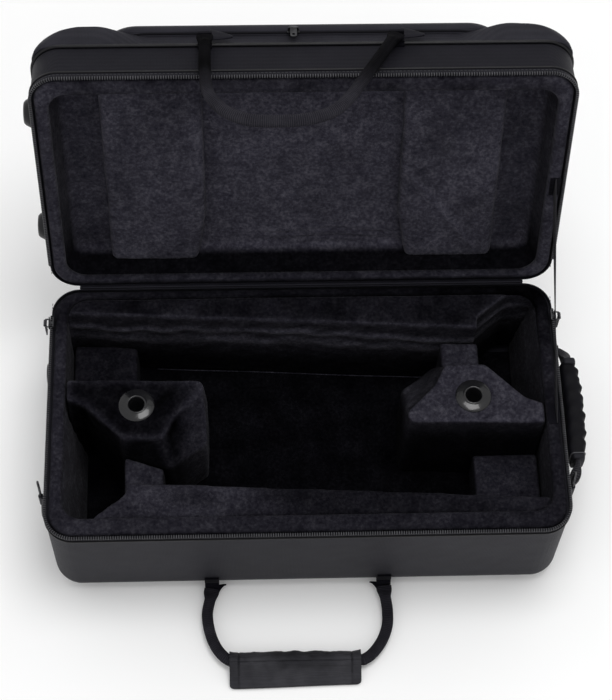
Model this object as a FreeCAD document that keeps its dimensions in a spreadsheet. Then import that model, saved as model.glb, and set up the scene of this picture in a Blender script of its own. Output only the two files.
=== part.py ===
import FreeCAD, Part
import math
import os
import Sketcher
from FreeCAD import Placement, Rotation, Vector

# Double trumpet case, open. Millimetres, +Z up. X runs along the case, the front faces -Y and the hinge
# lies along the back. The origin is on the floor, under the middle of the base.
# Lid pieces are drawn shut, over the base, and are then turned open about the hinge line.

doc = FreeCAD.newDocument("DoubleTrumpetCase")
sheet = doc.addObject("Spreadsheet::Sheet", "Sizes")
subParts = []
sheetRows = []


class Size:
    # A sheet value, or a sum of them. The text goes into expressions, and the number starts the sketches.
    def __init__(self, text, number):
        self.text = text
        self.number = number

    def __add__(self, other):
        return Size(f"({self.text} + {asSize(other).text})", self.number + asSize(other).number)

    def __sub__(self, other):
        return Size(f"({self.text} - {asSize(other).text})", self.number - asSize(other).number)

    def __mul__(self, other):
        return Size(f"({self.text} * {asSize(other).text})", self.number * asSize(other).number)

    def __truediv__(self, other):
        return Size(f"({self.text} / {asSize(other).text})", self.number / asSize(other).number)

    def __radd__(self, other):
        return asSize(other) + self

    def __rsub__(self, other):
        return asSize(other) - self

    def __rmul__(self, other):
        return asSize(other) * self

    def __neg__(self):
        return Size(f"(0 - {self.text})", -self.number)


class Sizes:
    # Holds each named size under its alias in the sheet.
    pass


S = Sizes()


def asSize(value):
    return value if isinstance(value, Size) else Size(str(value), float(value))


def root(size):
    return Size(f"sqrt({size.text})", math.sqrt(size.number))


def cosine(angle):
    return Size(f"cos({angle.text} * 1 deg)", math.cos(math.radians(angle.number)))


def sine(angle):
    return Size(f"sin({angle.text} * 1 deg)", math.sin(math.radians(angle.number)))


def fileSizes(heading):
    # Puts each size named since the last call into the sheet, on a row with its name as its alias.
    sheetRows.append(heading)
    sheet.set(f"A{len(sheetRows)}", heading)
    for alias, value in list(globals().items()):
        if isinstance(value, (int, float)) and not hasattr(S, alias):
            sheetRows.append(alias)
            sheet.set(f"A{len(sheetRows)}", alias)
            sheet.set(f"B{len(sheetRows)}", str(value))
            sheet.setAlias(f"B{len(sheetRows)}", alias)
            setattr(S, alias, Size(f"Sizes.{alias}", float(value)))


def bind(item, name, size):
    item.setExpression(name, asSize(size).text)


def newBody(label, placement=None):
    body = doc.addObject("PartDesign::Body", "Body_" + label)
    body.Label = label
    body.Placement = placement or Placement()
    subParts.append(body)
    return body


def planeSketch(body, role, height=0):
    # A sketch on one of the body's own planes, moved along that plane's normal.
    plane = [item for item in body.Origin.OriginFeatures if item.Role == role][0]
    sketch = body.newObject("Sketcher::SketchObject", "Sketch")
    sketch.AttachmentSupport = (plane, [""])
    sketch.MapMode = "FlatFace"
    bind(sketch, "AttachmentOffset.Base.z", height)
    sketch.AttachmentOffset = Placement(Vector(0, 0, asSize(height).number), Rotation())
    return sketch


def dimension(sketch, kind, element, vertex, size):
    index = sketch.addConstraint(Sketcher.Constraint(kind, -1, 1, element, vertex, asSize(size).number))
    bind(sketch, f"Constraints[{index}]", size)


def outline(sketch, corners, closed=True):
    # Straight runs from corner to corner. A corner's third value, where it has one, rounds it.
    spots = [Vector(asSize(corner[0]).number, asSize(corner[1]).number, 0) for corner in corners]
    count = len(spots)
    joints = []
    for i, corner in enumerate(corners):
        inner = closed or 0 < i < count - 1
        if len(corner) < 3 or not inner or asSize(corner[2]).number < nearly:
            joints.append(None)
            continue
        before = (spots[i - 1] - spots[i]).normalize()
        after = (spots[(i + 1) % count] - spots[i]).normalize()
        half = before.getAngle(after) / 2
        radius = asSize(corner[2]).number
        middle = spots[i] + (before + after).normalize() * (radius / math.sin(half))
        reach = radius / math.tan(half)
        left = before.cross(after).z < 0
        joints.append((spots[i] + before * reach, spots[i] + after * reach, middle, radius, left))
    runs = count if closed else count - 1
    lines = []
    for i in range(runs):
        start = joints[i][1] if joints[i] else spots[i]
        end = joints[(i + 1) % count][0] if joints[(i + 1) % count] else spots[(i + 1) % count]
        lines.append(sketch.addGeometry(Part.LineSegment(start, end), False))
    for i, corner in enumerate(corners):
        arriving = lines[i - 1] if closed or i > 0 else None
        leaving = lines[i] if i < runs else None
        if joints[i] is None:
            if arriving is not None and leaving is not None:
                sketch.addConstraint(Sketcher.Constraint("Coincident", arriving, 2, leaving, 1))
            element, vertex = (leaving, 1) if leaving is not None else (arriving, 2)
        else:
            start, end, middle, radius, left = joints[i]
            first, last = (start, end) if left else (end, start)
            angles = [math.atan2(spot.y - middle.y, spot.x - middle.x) for spot in (first, last)]
            circle = Part.Circle(middle, Vector(0, 0, 1), radius)
            arc = sketch.addGeometry(Part.ArcOfCircle(circle, angles[0], angles[1]), False)
            near, far = (1, 2) if left else (2, 1)
            sketch.addConstraint(Sketcher.Constraint("Tangent", arriving, 2, arc, near))
            sketch.addConstraint(Sketcher.Constraint("Tangent", leaving, 1, arc, far))
            index = sketch.addConstraint(Sketcher.Constraint("Radius", arc, radius))
            bind(sketch, f"Constraints[{index}]", corner[2])
            element, vertex = sketch.addGeometry(Part.Point(spots[i]), True), 1
            sketch.addConstraint(Sketcher.Constraint("PointOnObject", element, 1, arriving))
            sketch.addConstraint(Sketcher.Constraint("PointOnObject", element, 1, leaving))
        dimension(sketch, "DistanceX", element, vertex, corner[0])
        dimension(sketch, "DistanceY", element, vertex, corner[1])
    return sketch


def ring(sketch, x, y, radius):
    centre = Vector(asSize(x).number, asSize(y).number, 0)
    circle = sketch.addGeometry(Part.Circle(centre, Vector(0, 0, 1), asSize(radius).number), False)
    index = sketch.addConstraint(Sketcher.Constraint("Radius", circle, asSize(radius).number))
    bind(sketch, f"Constraints[{index}]", radius)
    dimension(sketch, "DistanceX", circle, 3, x)
    dimension(sketch, "DistanceY", circle, 3, y)
    return sketch


def rectangle(left, low, right, high, radius=0):
    return [(left, low, radius), (right, low, radius), (right, high, radius), (left, high, radius)]


def pad(body, sketch, length, reverse=False):
    feature = body.newObject("PartDesign::Pad", "Pad")
    feature.Profile = sketch
    bind(feature, "Length", length)
    feature.Reversed = reverse
    sketch.Visibility = False
    doc.recompute()
    return feature


def pocket(body, sketch, length, reverse=False):
    before = body.Shape.Volume
    feature = body.newObject("PartDesign::Pocket", "Pocket")
    feature.Profile = sketch
    bind(feature, "Length", length)
    feature.Reversed = reverse
    doc.recompute()
    if feature.Shape.Volume > before - nearly:
        raise ValueError("the pocket in " + body.Label + " cuts nothing")
    return feature


def revolve(body, sketch):
    # A full turn about the sketch's upright axis.
    feature = body.newObject("PartDesign::Revolution", "Revolution")
    feature.Profile = sketch
    feature.ReferenceAxis = (sketch, ["V_Axis"])
    feature.Angle = 360
    doc.recompute()
    return feature


def pipe(body, profile, path, kind="PartDesign::AdditivePipe"):
    feature = body.newObject(kind, "Pipe")
    feature.Profile = profile
    feature.Spine = (path, [])
    doc.recompute()
    return feature


def loft(body, sections, kind="PartDesign::AdditiveLoft"):
    feature = body.newObject(kind, "Loft")
    feature.Profile = sections[0]
    feature.Sections = sections[1:]
    feature.Ruled = True
    doc.recompute()
    return feature


def soften(body, feature, edges, radius):
    names = [f"Edge{i + 1}" for i, edge in enumerate(feature.Shape.Edges) if edges(edge)]
    fillet = body.newObject("PartDesign::Fillet", "Fillet")
    fillet.Base = (feature, names)
    bind(fillet, "Radius", radius)
    doc.recompute()
    return fillet


def heights(edge):
    middle = (edge.FirstParameter + edge.LastParameter) / 2
    return [edge.valueAt(spot).z for spot in (edge.FirstParameter, middle, edge.LastParameter)]


def atHeight(size):
    level = asSize(size).number
    return lambda edge: all(abs(height - level) < nearly for height in heights(edge))


def isTop(face):
    return face.BoundBox.ZLength < nearly and face.CenterOfMass.z > shellTop.number - nearly


# Overall sizes. The rim plane, where the two halves meet, is at base_height. Sizes under nearly_share of
# the case count as none.

case_length = 570
case_width = 306
base_height = 158
lid_depth = 53
corner_radius = 31
bottom_radius = 26
shell_wall = 5
zip_band = 10
lid_open_angle = 104.7
soft_gap = 0.3
overrun = 4
nearly_share = 0.000002
fileSizes("Case")
nearly = case_length * nearly_share

halfLength = S.case_length / 2
halfWidth = S.case_width / 2
shellTop = S.base_height - S.zip_band
lidShellLow = S.base_height + S.zip_band
lidTop = S.base_height + S.lid_depth
hingeLine = Vector(0, halfWidth.number, S.base_height.number)
lidOpen = Placement(Vector(), Rotation(Vector(1, 0, 0), -S.lid_open_angle.number), hingeLine)
besideWall = S.shell_wall + S.soft_gap


def caseOutline(inset):
    x = halfLength - inset
    y = halfWidth - inset
    return rectangle(-x, -y, x, y, S.corner_radius - inset)


def frontOutline(inset, end):
    # The open run of the zip: up one end wall, along the front and back down the other end wall.
    x = halfLength - inset
    y = halfWidth - inset
    radius = S.corner_radius - inset
    return [(-x, end), (-x, -y, radius), (x, -y, radius), (x, end)]


def baseShell():
    body = newBody("base_shell")
    block = pad(body, outline(planeSketch(body, "XY_Plane"), caseOutline(0)), shellTop)
    rounded = soften(body, block, atHeight(0), S.bottom_radius)
    hollow = body.newObject("PartDesign::Thickness", "Thickness")
    hollow.Base = (rounded, [f"Face{i + 1}" for i, face in enumerate(rounded.Shape.Faces) if isTop(face)])
    bind(hollow, "Value", S.shell_wall)
    hollow.Reversed = True
    doc.recompute()


lid_wall = 5
lid_top_round = 5
fileSizes("Lid shell")

lidCeiling = lidTop - S.lid_wall


def lidShell():
    body = newBody("lid_shell", lidOpen)
    low = outline(planeSketch(body, "XY_Plane", lidShellLow), caseOutline(0))
    block = pad(body, low, lidTop - lidShellLow)
    soften(body, block, atHeight(lidTop), S.lid_top_round)
    mouth = outline(planeSketch(body, "XY_Plane", lidShellLow), caseOutline(S.lid_wall))
    pocket(body, mouth, lidCeiling - lidShellLow, reverse=True)


# The soft rim: a plush roll on each half, wider at the front than at the back.

rim_side = 18
rim_front = 24
rim_back = 12
rim_corner = 22
rim_round = 4
rim_sink = 0.7
rim_inset = 3.6
tape_thickness = 1
fileSizes("Rim")

pitHalfLength = halfLength - S.rim_side
pitHalfWidth = (S.case_width - S.rim_front - S.rim_back) / 2
pitMiddle = (S.rim_front - S.rim_back) / 2


def rimRoll(label, low, softLevel, placement=None):
    body = newBody(label, placement)
    sketch = outline(planeSketch(body, "XY_Plane", low), caseOutline(S.rim_inset))
    pit = rectangle(-pitHalfLength, pitMiddle - pitHalfWidth, pitHalfLength, pitMiddle + pitHalfWidth,
                    S.rim_corner)
    outline(sketch, pit)
    band = pad(body, sketch, S.zip_band - S.rim_sink - S.soft_gap)
    soften(body, band, atHeight(softLevel), S.rim_round)


def rimRolls():
    rimRoll("rim_roll", shellTop + S.soft_gap, S.base_height - S.rim_sink)
    low = S.base_height + S.rim_sink
    rimRoll("lid_rim_roll", low, low, lidOpen)


# Zip: a tape on each half, its coil along the edge and a welt where the tape is sewn to the shell.

coil_radius = 1.4
coil_gap = 0.6
zip_stop = 35
welt_height = 2.4
welt_proud = 1.6
welt_round = 1
fileSizes("Zip")

coilReach = S.coil_gap + 2 * S.coil_radius
zipEnd = halfWidth - S.zip_stop


def openRing(body, low, height, outer, inner):
    # A band round the front and both ends, cut away behind the zip's ends.
    sketch = outline(planeSketch(body, "XY_Plane", low), caseOutline(outer))
    outline(sketch, caseOutline(inner))
    pad(body, sketch, height)
    cut = rectangle(-S.case_length, zipEnd, S.case_length, S.case_width)
    knife = outline(planeSketch(body, "XY_Plane", low + height + S.overrun), cut)
    return pocket(body, knife, height + 2 * S.overrun)


def zipHalf(prefix, tapeLow, coilLevel, weltLow, placement=None):
    tape = newBody(prefix + "_zip_tape", placement)
    band = outline(planeSketch(tape, "XY_Plane", tapeLow), caseOutline(0))
    pad(tape, outline(band, caseOutline(S.tape_thickness)), S.zip_band - coilReach)
    coil = newBody(prefix + "_zip_coil", placement)
    path = outline(planeSketch(coil, "XY_Plane", coilLevel), frontOutline(0, zipEnd), closed=False)
    wire = ring(planeSketch(coil, "XZ_Plane", -zipEnd), -halfLength, coilLevel, S.coil_radius)
    pipe(coil, wire, path)
    welt = newBody(prefix + "_welt", placement)
    band = openRing(welt, weltLow, S.welt_height, -S.welt_proud, 0)
    soften(welt, band, lambda edge: isLevel(edge) and farOut(edge), S.welt_round)


def isLevel(edge):
    return max(heights(edge)) - min(heights(edge)) < nearly


def farOut(edge):
    # The edges that run outside the shell's walls, in front and at both ends.
    box = edge.BoundBox
    beyondEnds = min(abs(box.XMin), abs(box.XMax)) > halfLength.number + nearly
    beyondFront = box.YMax < -halfWidth.number - nearly
    corner = not beyondEnds and not beyondFront and box.XLength > nearly and box.YLength > nearly
    middle = edge.valueAt((edge.FirstParameter + edge.LastParameter) / 2)
    cornerX = halfLength.number - S.corner_radius.number
    cornerY = halfWidth.number - S.corner_radius.number
    reach = math.hypot(abs(middle.x) - cornerX, abs(middle.y) - cornerY)
    along = box.YLength < nearly and box.XLength < 2 * S.welt_proud.number
    return (beyondEnds or beyondFront or corner and reach > S.corner_radius.number + nearly) and not along


def zips():
    coilLevel = S.coil_gap + S.coil_radius
    zipHalf("base", shellTop, S.base_height - coilLevel, shellTop - S.welt_height)
    zipHalf("lid", S.base_height + coilReach, S.base_height + coilLevel, lidShellLow, lidOpen)


# Base lining: a floor, front and back ledges that taper, and padded end walls. The pit and what stands
# in it look the same after half a turn about the pit's middle, so each piece is drawn once for the left.

floor_thickness = 15
floor_round = 10
foot_round = 6
ledge_drop = 4
ledge_round = 4
ledge_narrow = 17.5
ledge_wide = 43
ledge_end_gap = 68
ledge_step = 14
ledge_chamfer = 37
end_slope = 17
fileSizes("Base lining")

floorTop = S.shell_wall + S.floor_thickness
ledgeEnd = S.ledge_end_gap - pitHalfLength
ledgeFall = (S.ledge_wide - S.ledge_narrow) / (pitHalfLength - ledgeEnd)


def pitPlacement(turn):
    return Placement(Vector(0, pitMiddle.number, 0), Rotation(Vector(0, 0, 1), turn))


def ledgeLine(x):
    # How far in front of the pit's middle the front ledge's inner face lies, at a place along the case.
    return pitHalfWidth - S.ledge_wide + (x - ledgeEnd) * ledgeFall


def floorPad():
    body = newBody("floor_pad")
    inset = besideWall + S.bottom_radius - S.shell_wall - S.floor_round
    sketch = outline(planeSketch(body, "XY_Plane", S.shell_wall), caseOutline(inset))
    block = pad(body, sketch, S.floor_thickness)
    soften(body, block, atHeight(S.shell_wall), S.floor_round)


def ledgePad(label, turn, shift):
    body = newBody(label, pitPlacement(turn))
    right = halfLength - besideWall
    radius = S.corner_radius - besideWall
    outer = halfWidth - besideWall + shift
    cornerEnd = radius - outer + S.soft_gap
    lip = [(pitHalfLength, -ledgeLine(pitHalfLength)), (ledgeEnd, -ledgeLine(ledgeEnd)),
           (ledgeEnd, -ledgeLine(ledgeEnd) - S.ledge_step), (ledgeEnd - S.ledge_chamfer, -pitHalfWidth)]
    plan = [(-right, -outer, radius), (right, -outer, radius), (right, cornerEnd),
            (pitHalfLength, cornerEnd)] + lip
    plan += [(-pitHalfLength, -pitHalfWidth), (-pitHalfLength, cornerEnd), (-right, cornerEnd)]
    low = pad(body, outline(planeSketch(body, "XY_Plane", floorTop), plan), shellTop - floorTop)
    soften(body, low, lambda edge: atHeight(floorTop)(edge) and besideShell(edge), S.foot_round)
    near = pitHalfLength - S.soft_gap
    edge = S.soft_gap - pitHalfWidth
    top = [(lip[3][0], edge), (near, edge), (near, lip[0][1])] + lip[1:3]
    pad(body, outline(planeSketch(body, "XY_Plane", shellTop), top), S.zip_band - S.ledge_drop)
    around = rectangle(-S.case_length, -S.case_width, S.case_length, S.case_width)
    trim = outline(planeSketch(body, "XY_Plane", shellTop), around)
    outline(trim, rectangle(-near, edge, near, -edge, S.rim_corner - S.soft_gap))
    raised = pocket(body, trim, S.zip_band, reverse=True)
    soften(body, raised, atHeight(S.base_height - S.ledge_drop), S.ledge_round)


def besideShell(edge):
    place = edge.CenterOfMass
    ends = abs(place.x) > pitHalfLength.number + nearly and edge.BoundBox.YLength > nearly
    return ends or place.y < -pitHalfWidth.number - nearly


def endPad(label, turn, shift):
    body = newBody(label, pitPlacement(turn))
    outer = besideWall - halfLength
    back = halfWidth - S.corner_radius - shift - S.soft_gap * 2
    front = S.corner_radius - halfWidth - shift + S.soft_gap * 2
    slab = [(outer, floorTop, S.foot_round), (-pitHalfLength, floorTop), (-pitHalfLength, shellTop),
            (outer, shellTop)]
    pad(body, outline(planeSketch(body, "XZ_Plane", -back), slab), back - front)
    wedge = [(-pitHalfLength, floorTop), (S.end_slope - pitHalfLength, floorTop), (-pitHalfLength, shellTop)]
    stop = blockShoulder - S.soft_gap
    pad(body, outline(planeSketch(body, "XZ_Plane", -stop), wedge), stop + pitHalfWidth - S.soft_gap)


def baseLining():
    floorPad()
    for turn, shift, ledge, end in ((0, pitMiddle, "front", "left"), (180, -pitMiddle, "back", "right")):
        ledgePad(ledge + "_ledge", turn, shift)
        endPad("end_pad_" + end, turn, shift)


# Holder blocks, each with a low neck to the ledge in front and a low step behind it.

block_drop = 1
block_round = 3
block_back = 32
block_back_nose = 29
block_nose = 154.5
block_nose_round = 9
block_throat_x = 22
block_throat_y = 49
block_throat_round = 14
block_front = 44
block_front_left = 64
block_front_width = 46
block_front_round = 9
block_shoulder = 1.5
block_shoulder_x = 20
block_side = 6
skirt_nose = 157.5
skirt_nose_front = 32
skirt_throat = 139
skirt_corner = 117
skirt_front = 62
block_rim = 5
neck_drop = 43
neck_width = 45
neck_gap = 0.4
neck_round = 4
step_drop = 81
step_length = 75
step_round = 4
fileSizes("Holder blocks")

blockLeft = S.soft_gap - pitHalfLength
blockShoulder = -S.block_shoulder
neckLeft = S.block_front_left - pitHalfLength
skirtTop = S.base_height - S.neck_drop
skirtFall = (S.skirt_front - S.block_front) / (S.skirt_corner - S.block_front_left)


def holderBlock(side, turn):
    body = newBody("holder_block_" + side, pitPlacement(turn))
    nose = S.block_nose - pitHalfLength
    frontRight = neckLeft + S.block_front_width
    left = [
        (blockLeft, S.block_back),
        (blockLeft, S.block_side),
        (blockLeft + S.block_shoulder_x, blockShoulder),
        (neckLeft, -S.block_front, S.block_front_round),
    ]
    plan = left + [
        (frontRight, -S.block_front, S.block_front_round),
        (frontRight + S.block_throat_x / 2, S.block_throat_y / 2 - S.block_front, S.block_throat_round),
        (nose, S.block_back_nose / 2, S.block_nose_round),
        (nose, S.block_back_nose, S.block_nose_round),
    ]
    skirtNose = S.skirt_nose - pitHalfLength
    foot = left + [
        (S.skirt_corner - pitHalfLength, -S.skirt_front, S.block_front_round),
        (S.skirt_throat - pitHalfLength, -S.block_front, S.block_throat_round),
        (skirtNose, -S.skirt_nose_front, S.block_nose_round),
        (skirtNose, S.block_back_nose, S.block_nose_round),
    ]
    top = S.base_height - S.block_drop
    pad(body, outline(planeSketch(body, "XY_Plane", floorTop), foot), skirtTop - floorTop)
    flare = [outline(planeSketch(body, "XY_Plane", skirtTop), foot),
             outline(planeSketch(body, "XY_Plane", top - S.block_rim), plan)]
    loft(body, flare)
    block = pad(body, outline(planeSketch(body, "XY_Plane", top - S.block_rim), plan), S.block_rim)
    soften(body, block, atHeight(top), S.block_round)
    hole = ring(planeSketch(body, "XY_Plane", top), holderX, holderY, S.holder_radius + S.holder_gap)
    pocket(body, hole, S.holder_depth + S.soft_gap)


def neckPad(side, turn):
    body = newBody("neck_pad_" + side, pitPlacement(turn))
    right = neckLeft + S.neck_width
    back = -S.block_front - S.neck_gap
    plan = [(neckLeft, S.soft_gap - ledgeLine(neckLeft)), (right, S.soft_gap - ledgeLine(right)),
            (right, back - S.neck_width * skirtFall), (neckLeft, back)]
    block = pad(body, outline(planeSketch(body, "XY_Plane", floorTop), plan), skirtTop - floorTop)
    soften(body, block, atHeight(skirtTop), S.neck_round)


def stepPad(side, turn):
    body = newBody("step_pad_" + side, pitPlacement(turn))
    right = blockLeft + S.step_length
    front = S.block_back + S.soft_gap
    plan = [(blockLeft, front), (right, front), (right, ledgeLine(-right) - S.soft_gap),
            (blockLeft, ledgeLine(-blockLeft) - S.soft_gap)]
    top = S.base_height - S.step_drop
    block = pad(body, outline(planeSketch(body, "XY_Plane", floorTop), plan), top - floorTop)
    soften(body, block, atHeight(top), S.step_round)


# Mouthpiece holders: a blind cup under a flange that rises to a lip round the mouth.

holder_x = 187.4
holder_y = 2.4
holder_radius = 12
holder_bore = 8.8
holder_depth = 55
holder_floor = 3
holder_gap = 0.3
flange_radius = 20
flange_edge = 1.4
flange_rise = 3.2
lip_width = 2.4
lip_round = 0.7
fileSizes("Mouthpiece holders")

holderX = -S.holder_x
holderY = -S.holder_y


def mouthpieceHolder(side, turn):
    seat = Vector(holderX.number, holderY.number, S.base_height.number - S.block_drop.number)
    body = newBody("mouthpiece_holder_" + side, pitPlacement(turn) * Placement(seat, Rotation()))
    lip = S.holder_bore + S.lip_width
    profile = [
        (0, -S.holder_depth),
        (S.holder_radius, -S.holder_depth, S.lip_round),
        (S.holder_radius, 0),
        (S.flange_radius, 0),
        (S.flange_radius, S.flange_edge, S.lip_round),
        (lip, S.flange_rise, S.lip_round),
        (S.holder_bore, S.flange_rise, S.lip_round),
        (S.holder_bore, S.holder_floor - S.holder_depth),
        (0, S.holder_floor - S.holder_depth),
    ]
    revolve(body, outline(planeSketch(body, "XZ_Plane"), profile))


def pitFittings():
    for side, turn in (("left", 0), ("right", 180)):
        holderBlock(side, turn)
        neckPad(side, turn)
        stepPad(side, turn)
        mouthpieceHolder(side, turn)


# Lid lining: a tray with one broad recess, and two raised pads that press on the instruments.

recess_depth = 45
lining_corner = 20
lid_pad_height = 18
lid_pad_outer = 218
lid_pad_inner = 107
lid_pad_flare = 11
lid_pad_flare_at = 70
lid_pad_front = 14
lid_pad_back = 1
lid_pad_round = 7
fileSizes("Lid lining")


def lidLining():
    body = newBody("lid_lining", lidOpen)
    inset = S.lid_wall + S.soft_gap
    low = outline(planeSketch(body, "XY_Plane", lidShellLow), caseOutline(inset))
    pad(body, low, lidCeiling - S.soft_gap - lidShellLow)
    hollow = rectangle(-pitHalfLength, pitMiddle - pitHalfWidth, pitHalfLength, pitMiddle + pitHalfWidth,
                       S.lining_corner)
    mouth = outline(planeSketch(body, "XY_Plane", lidShellLow), hollow)
    pocket(body, mouth, S.recess_depth - S.zip_band, reverse=True)


def lidPad(side, hand):
    body = newBody("lid_pad_" + side, lidOpen)
    front = pitMiddle - pitHalfWidth + S.lid_pad_front
    back = pitMiddle + pitHalfWidth - S.lid_pad_back
    plan = [
        (hand * S.lid_pad_outer, front, S.lid_pad_round),
        (hand * S.lid_pad_inner, front, S.lid_pad_round),
        (hand * S.lid_pad_inner, back - S.lid_pad_flare_at),
        (hand * (S.lid_pad_inner + S.lid_pad_flare), back, S.lid_pad_round),
        (hand * S.lid_pad_outer, back, S.lid_pad_round),
    ]
    low = S.base_height + S.recess_depth - S.lid_pad_height
    block = pad(body, outline(planeSketch(body, "XY_Plane", low), plan), S.lid_pad_height)
    soften(body, block, atHeight(low), S.lid_pad_round)


def lidInside():
    lidLining()
    for side, hand in (("left", -1), ("right", 1)):
        lidPad(side, hand)


# Piping on the lid's outer seam, and the pocket that covers the lid: a sloping gusset and a flap.

piping_radius = 2
seam_angle = 45
pocket_inset = 4
pocket_rise = 24
pocket_end_slope = 72
pocket_front_slope = 3
pocket_back_slope = 9
pocket_wall = 3
pocket_top_corner = 44
pocket_low_corner = 30
flap_gap = 0.4
flap_rise = 8
flap_end_slope = 18
flap_side_slope = 9
pocket_coil = 1.6
pocket_coil_out = 2.1
fileSizes("Pocket")

pocketLow = lidTop + S.soft_gap
pocketTop = pocketLow + S.pocket_rise
flapLow = pocketTop + S.flap_gap
crownShares = ((0, 0), (0.3, 0.55), (1, 1))


def pocketOutline(share, inset):
    # The pocket's plan: share 0 is where it is sewn to the lid and share 1 where the zip runs.
    x = halfLength - S.pocket_inset - share * S.pocket_end_slope - inset
    front = halfWidth - S.pocket_inset - share * S.pocket_front_slope - inset
    back = halfWidth - S.pocket_inset - share * S.pocket_back_slope - inset
    corner = S.pocket_low_corner + share * (S.pocket_top_corner - S.pocket_low_corner) - inset
    return rectangle(-x, -front, x, back, corner)


def lidPiping():
    body = newBody("lid_piping", lidOpen)
    reach = (S.lid_top_round + S.piping_radius) * cosine(S.seam_angle) + S.soft_gap - S.lid_top_round
    path = outline(planeSketch(body, "XY_Plane", lidTop + reach), caseOutline(-reach))
    cord = ring(planeSketch(body, "YZ_Plane"), -halfWidth - reach, lidTop + reach, S.piping_radius)
    pipe(body, cord, path)


def pocketGusset():
    body = newBody("pocket_gusset", lidOpen)
    sections = [outline(planeSketch(body, "XY_Plane", level), pocketOutline(share, 0))
                for share, level in ((0, pocketLow), (1, pocketTop))]
    loft(body, sections)
    inside = [outline(planeSketch(body, "XY_Plane", level), pocketOutline(share, S.pocket_wall))
              for share, level in ((0, pocketLow), (1, pocketTop))]
    loft(body, inside, "PartDesign::SubtractiveLoft")


def pocketFlap():
    # A shallow crown: each ring of it lies further in and higher than the one before.
    body = newBody("pocket_flap", lidOpen)
    rings = []
    for inShare, upShare in crownShares:
        x = halfLength - S.pocket_inset - S.pocket_end_slope - inShare * S.flap_end_slope
        front = halfWidth - S.pocket_inset - S.pocket_front_slope - inShare * S.flap_side_slope
        back = halfWidth - S.pocket_inset - S.pocket_back_slope - inShare * S.flap_side_slope
        radius = S.pocket_top_corner - inShare * S.flap_side_slope
        level = flapLow + upShare * S.flap_rise
        rings.append(outline(planeSketch(body, "XY_Plane", level), rectangle(-x, -front, x, back, radius)))
    loft(body, rings)
    mouth = outline(planeSketch(body, "XY_Plane", flapLow), pocketOutline(1, S.flap_end_slope))
    pocket(body, mouth, S.flap_rise - S.pocket_wall, reverse=True)


# D-rings: each hangs in a webbing tab sewn to an end wall near the front.

ring_drop = 23.2
ring_front = 55
ring_reach = 5.5
ring_wire = 1.3
ring_height = 27
ring_depth = 19
ring_corner = 3
ring_bow = 10
ring_lean_angle = 15
tab_gap = 0.4
tab_webbing = 1.2
tab_sewn = 20
ring_tab_height = 20
fileSizes("D-rings")


def ringPlacement(hand, lean):
    spot = Vector(hand * (halfLength + S.ring_reach).number, (S.ring_front - halfWidth).number,
                  (S.base_height - S.ring_drop).number)
    return Placement(spot, Rotation(Vector(0, 0, 1), lean))


def dRing(side, hand):
    body = newBody("d_ring_" + side, ringPlacement(hand, -hand * S.ring_lean_angle.number))
    half = S.ring_height / 2
    path = [(0, -half, S.ring_corner), (S.ring_depth, -half, S.ring_bow), (S.ring_depth, half, S.ring_bow),
            (0, half, S.ring_corner)]
    spine = outline(planeSketch(body, "YZ_Plane"), path)
    pipe(body, ring(planeSketch(body, "XY_Plane"), 0, 0, S.ring_wire), spine)


def dRingTab(side, hand):
    # A plate on the wall, and the loop of it that goes round the ring's bar.
    body = newBody("d_ring_tab_" + side, ringPlacement(hand, 0))
    low = -S.ring_tab_height / 2
    bore = S.ring_wire + S.tab_gap
    outer = bore + S.tab_webbing
    loop = ring(planeSketch(body, "XY_Plane", low), 0, 0, outer)
    pad(body, loop, S.ring_tab_height)
    inside = -hand * S.ring_reach
    outside = inside + hand * 2 * S.tab_webbing
    plate = [(inside, -S.tab_sewn), (inside, 0), (-hand * bore, 0), (0, -bore), (hand * bore, -bore),
             (outside, -outer - S.tab_webbing * 2), (outside, -S.tab_sewn)]
    pad(body, outline(planeSketch(body, "XY_Plane", low), plate), S.ring_tab_height)
    hole = ring(planeSketch(body, "XY_Plane", low - S.overrun), 0, 0, bore)
    pocket(body, hole, S.ring_tab_height + 2 * S.overrun, reverse=True)


def dRings():
    for side, hand in (("left", -1), ("right", 1)):
        dRingTab(side, hand)
        dRing(side, hand)


# Zip sliders and pulls. A slider is drawn facing -Y: two plates joined by a wedge between the coils, with
# a loop on the outer plate for the pull.

slider_length = 13
slider_height = 8
slider_plate = 1.1
slider_clear = 0.4
slider_neck = 0.6
slider_neck_length = 3
slider_round = 1.5
loop_wire = 0.9
loop_half = 4.8
loop_bend = 1.35
loop_reach = 4
pull_width = 7
pull_length = 24
pull_thickness = 1.2
pull_round = 2.5
pull_hole = 1.6
pull_hole_in = 4
pull_clear = 0.3
pull_wall = 0.7
slider_stop = 45
pocket_slider_x = -10
pocket_pull_length = 16
pocket_zip_stop = 61
pocket_zip_lift = 1.4
fileSizes("Sliders")


def sliderPlate(body, near):
    # One rounded plate, its inner face at near.
    half = S.slider_height / 2
    plate = rectangle(-S.slider_length / 2, -half, S.slider_length / 2, half, S.slider_round)
    pad(body, outline(planeSketch(body, "XZ_Plane", near), plate), S.slider_plate)


def sliderLoop(body, face):
    # A wire loop that stands out from the plate, its bar along the zip.
    foot = -face + S.loop_wire / 2
    path = [(-S.loop_half, foot), (-S.loop_half, -face - S.loop_reach, S.loop_bend),
            (S.loop_half, -face - S.loop_reach, S.loop_bend), (S.loop_half, foot)]
    spine = outline(planeSketch(body, "XY_Plane"), path, closed=False)
    pipe(body, ring(planeSketch(body, "XZ_Plane", -foot), -S.loop_half, 0, S.loop_wire), spine)


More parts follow.
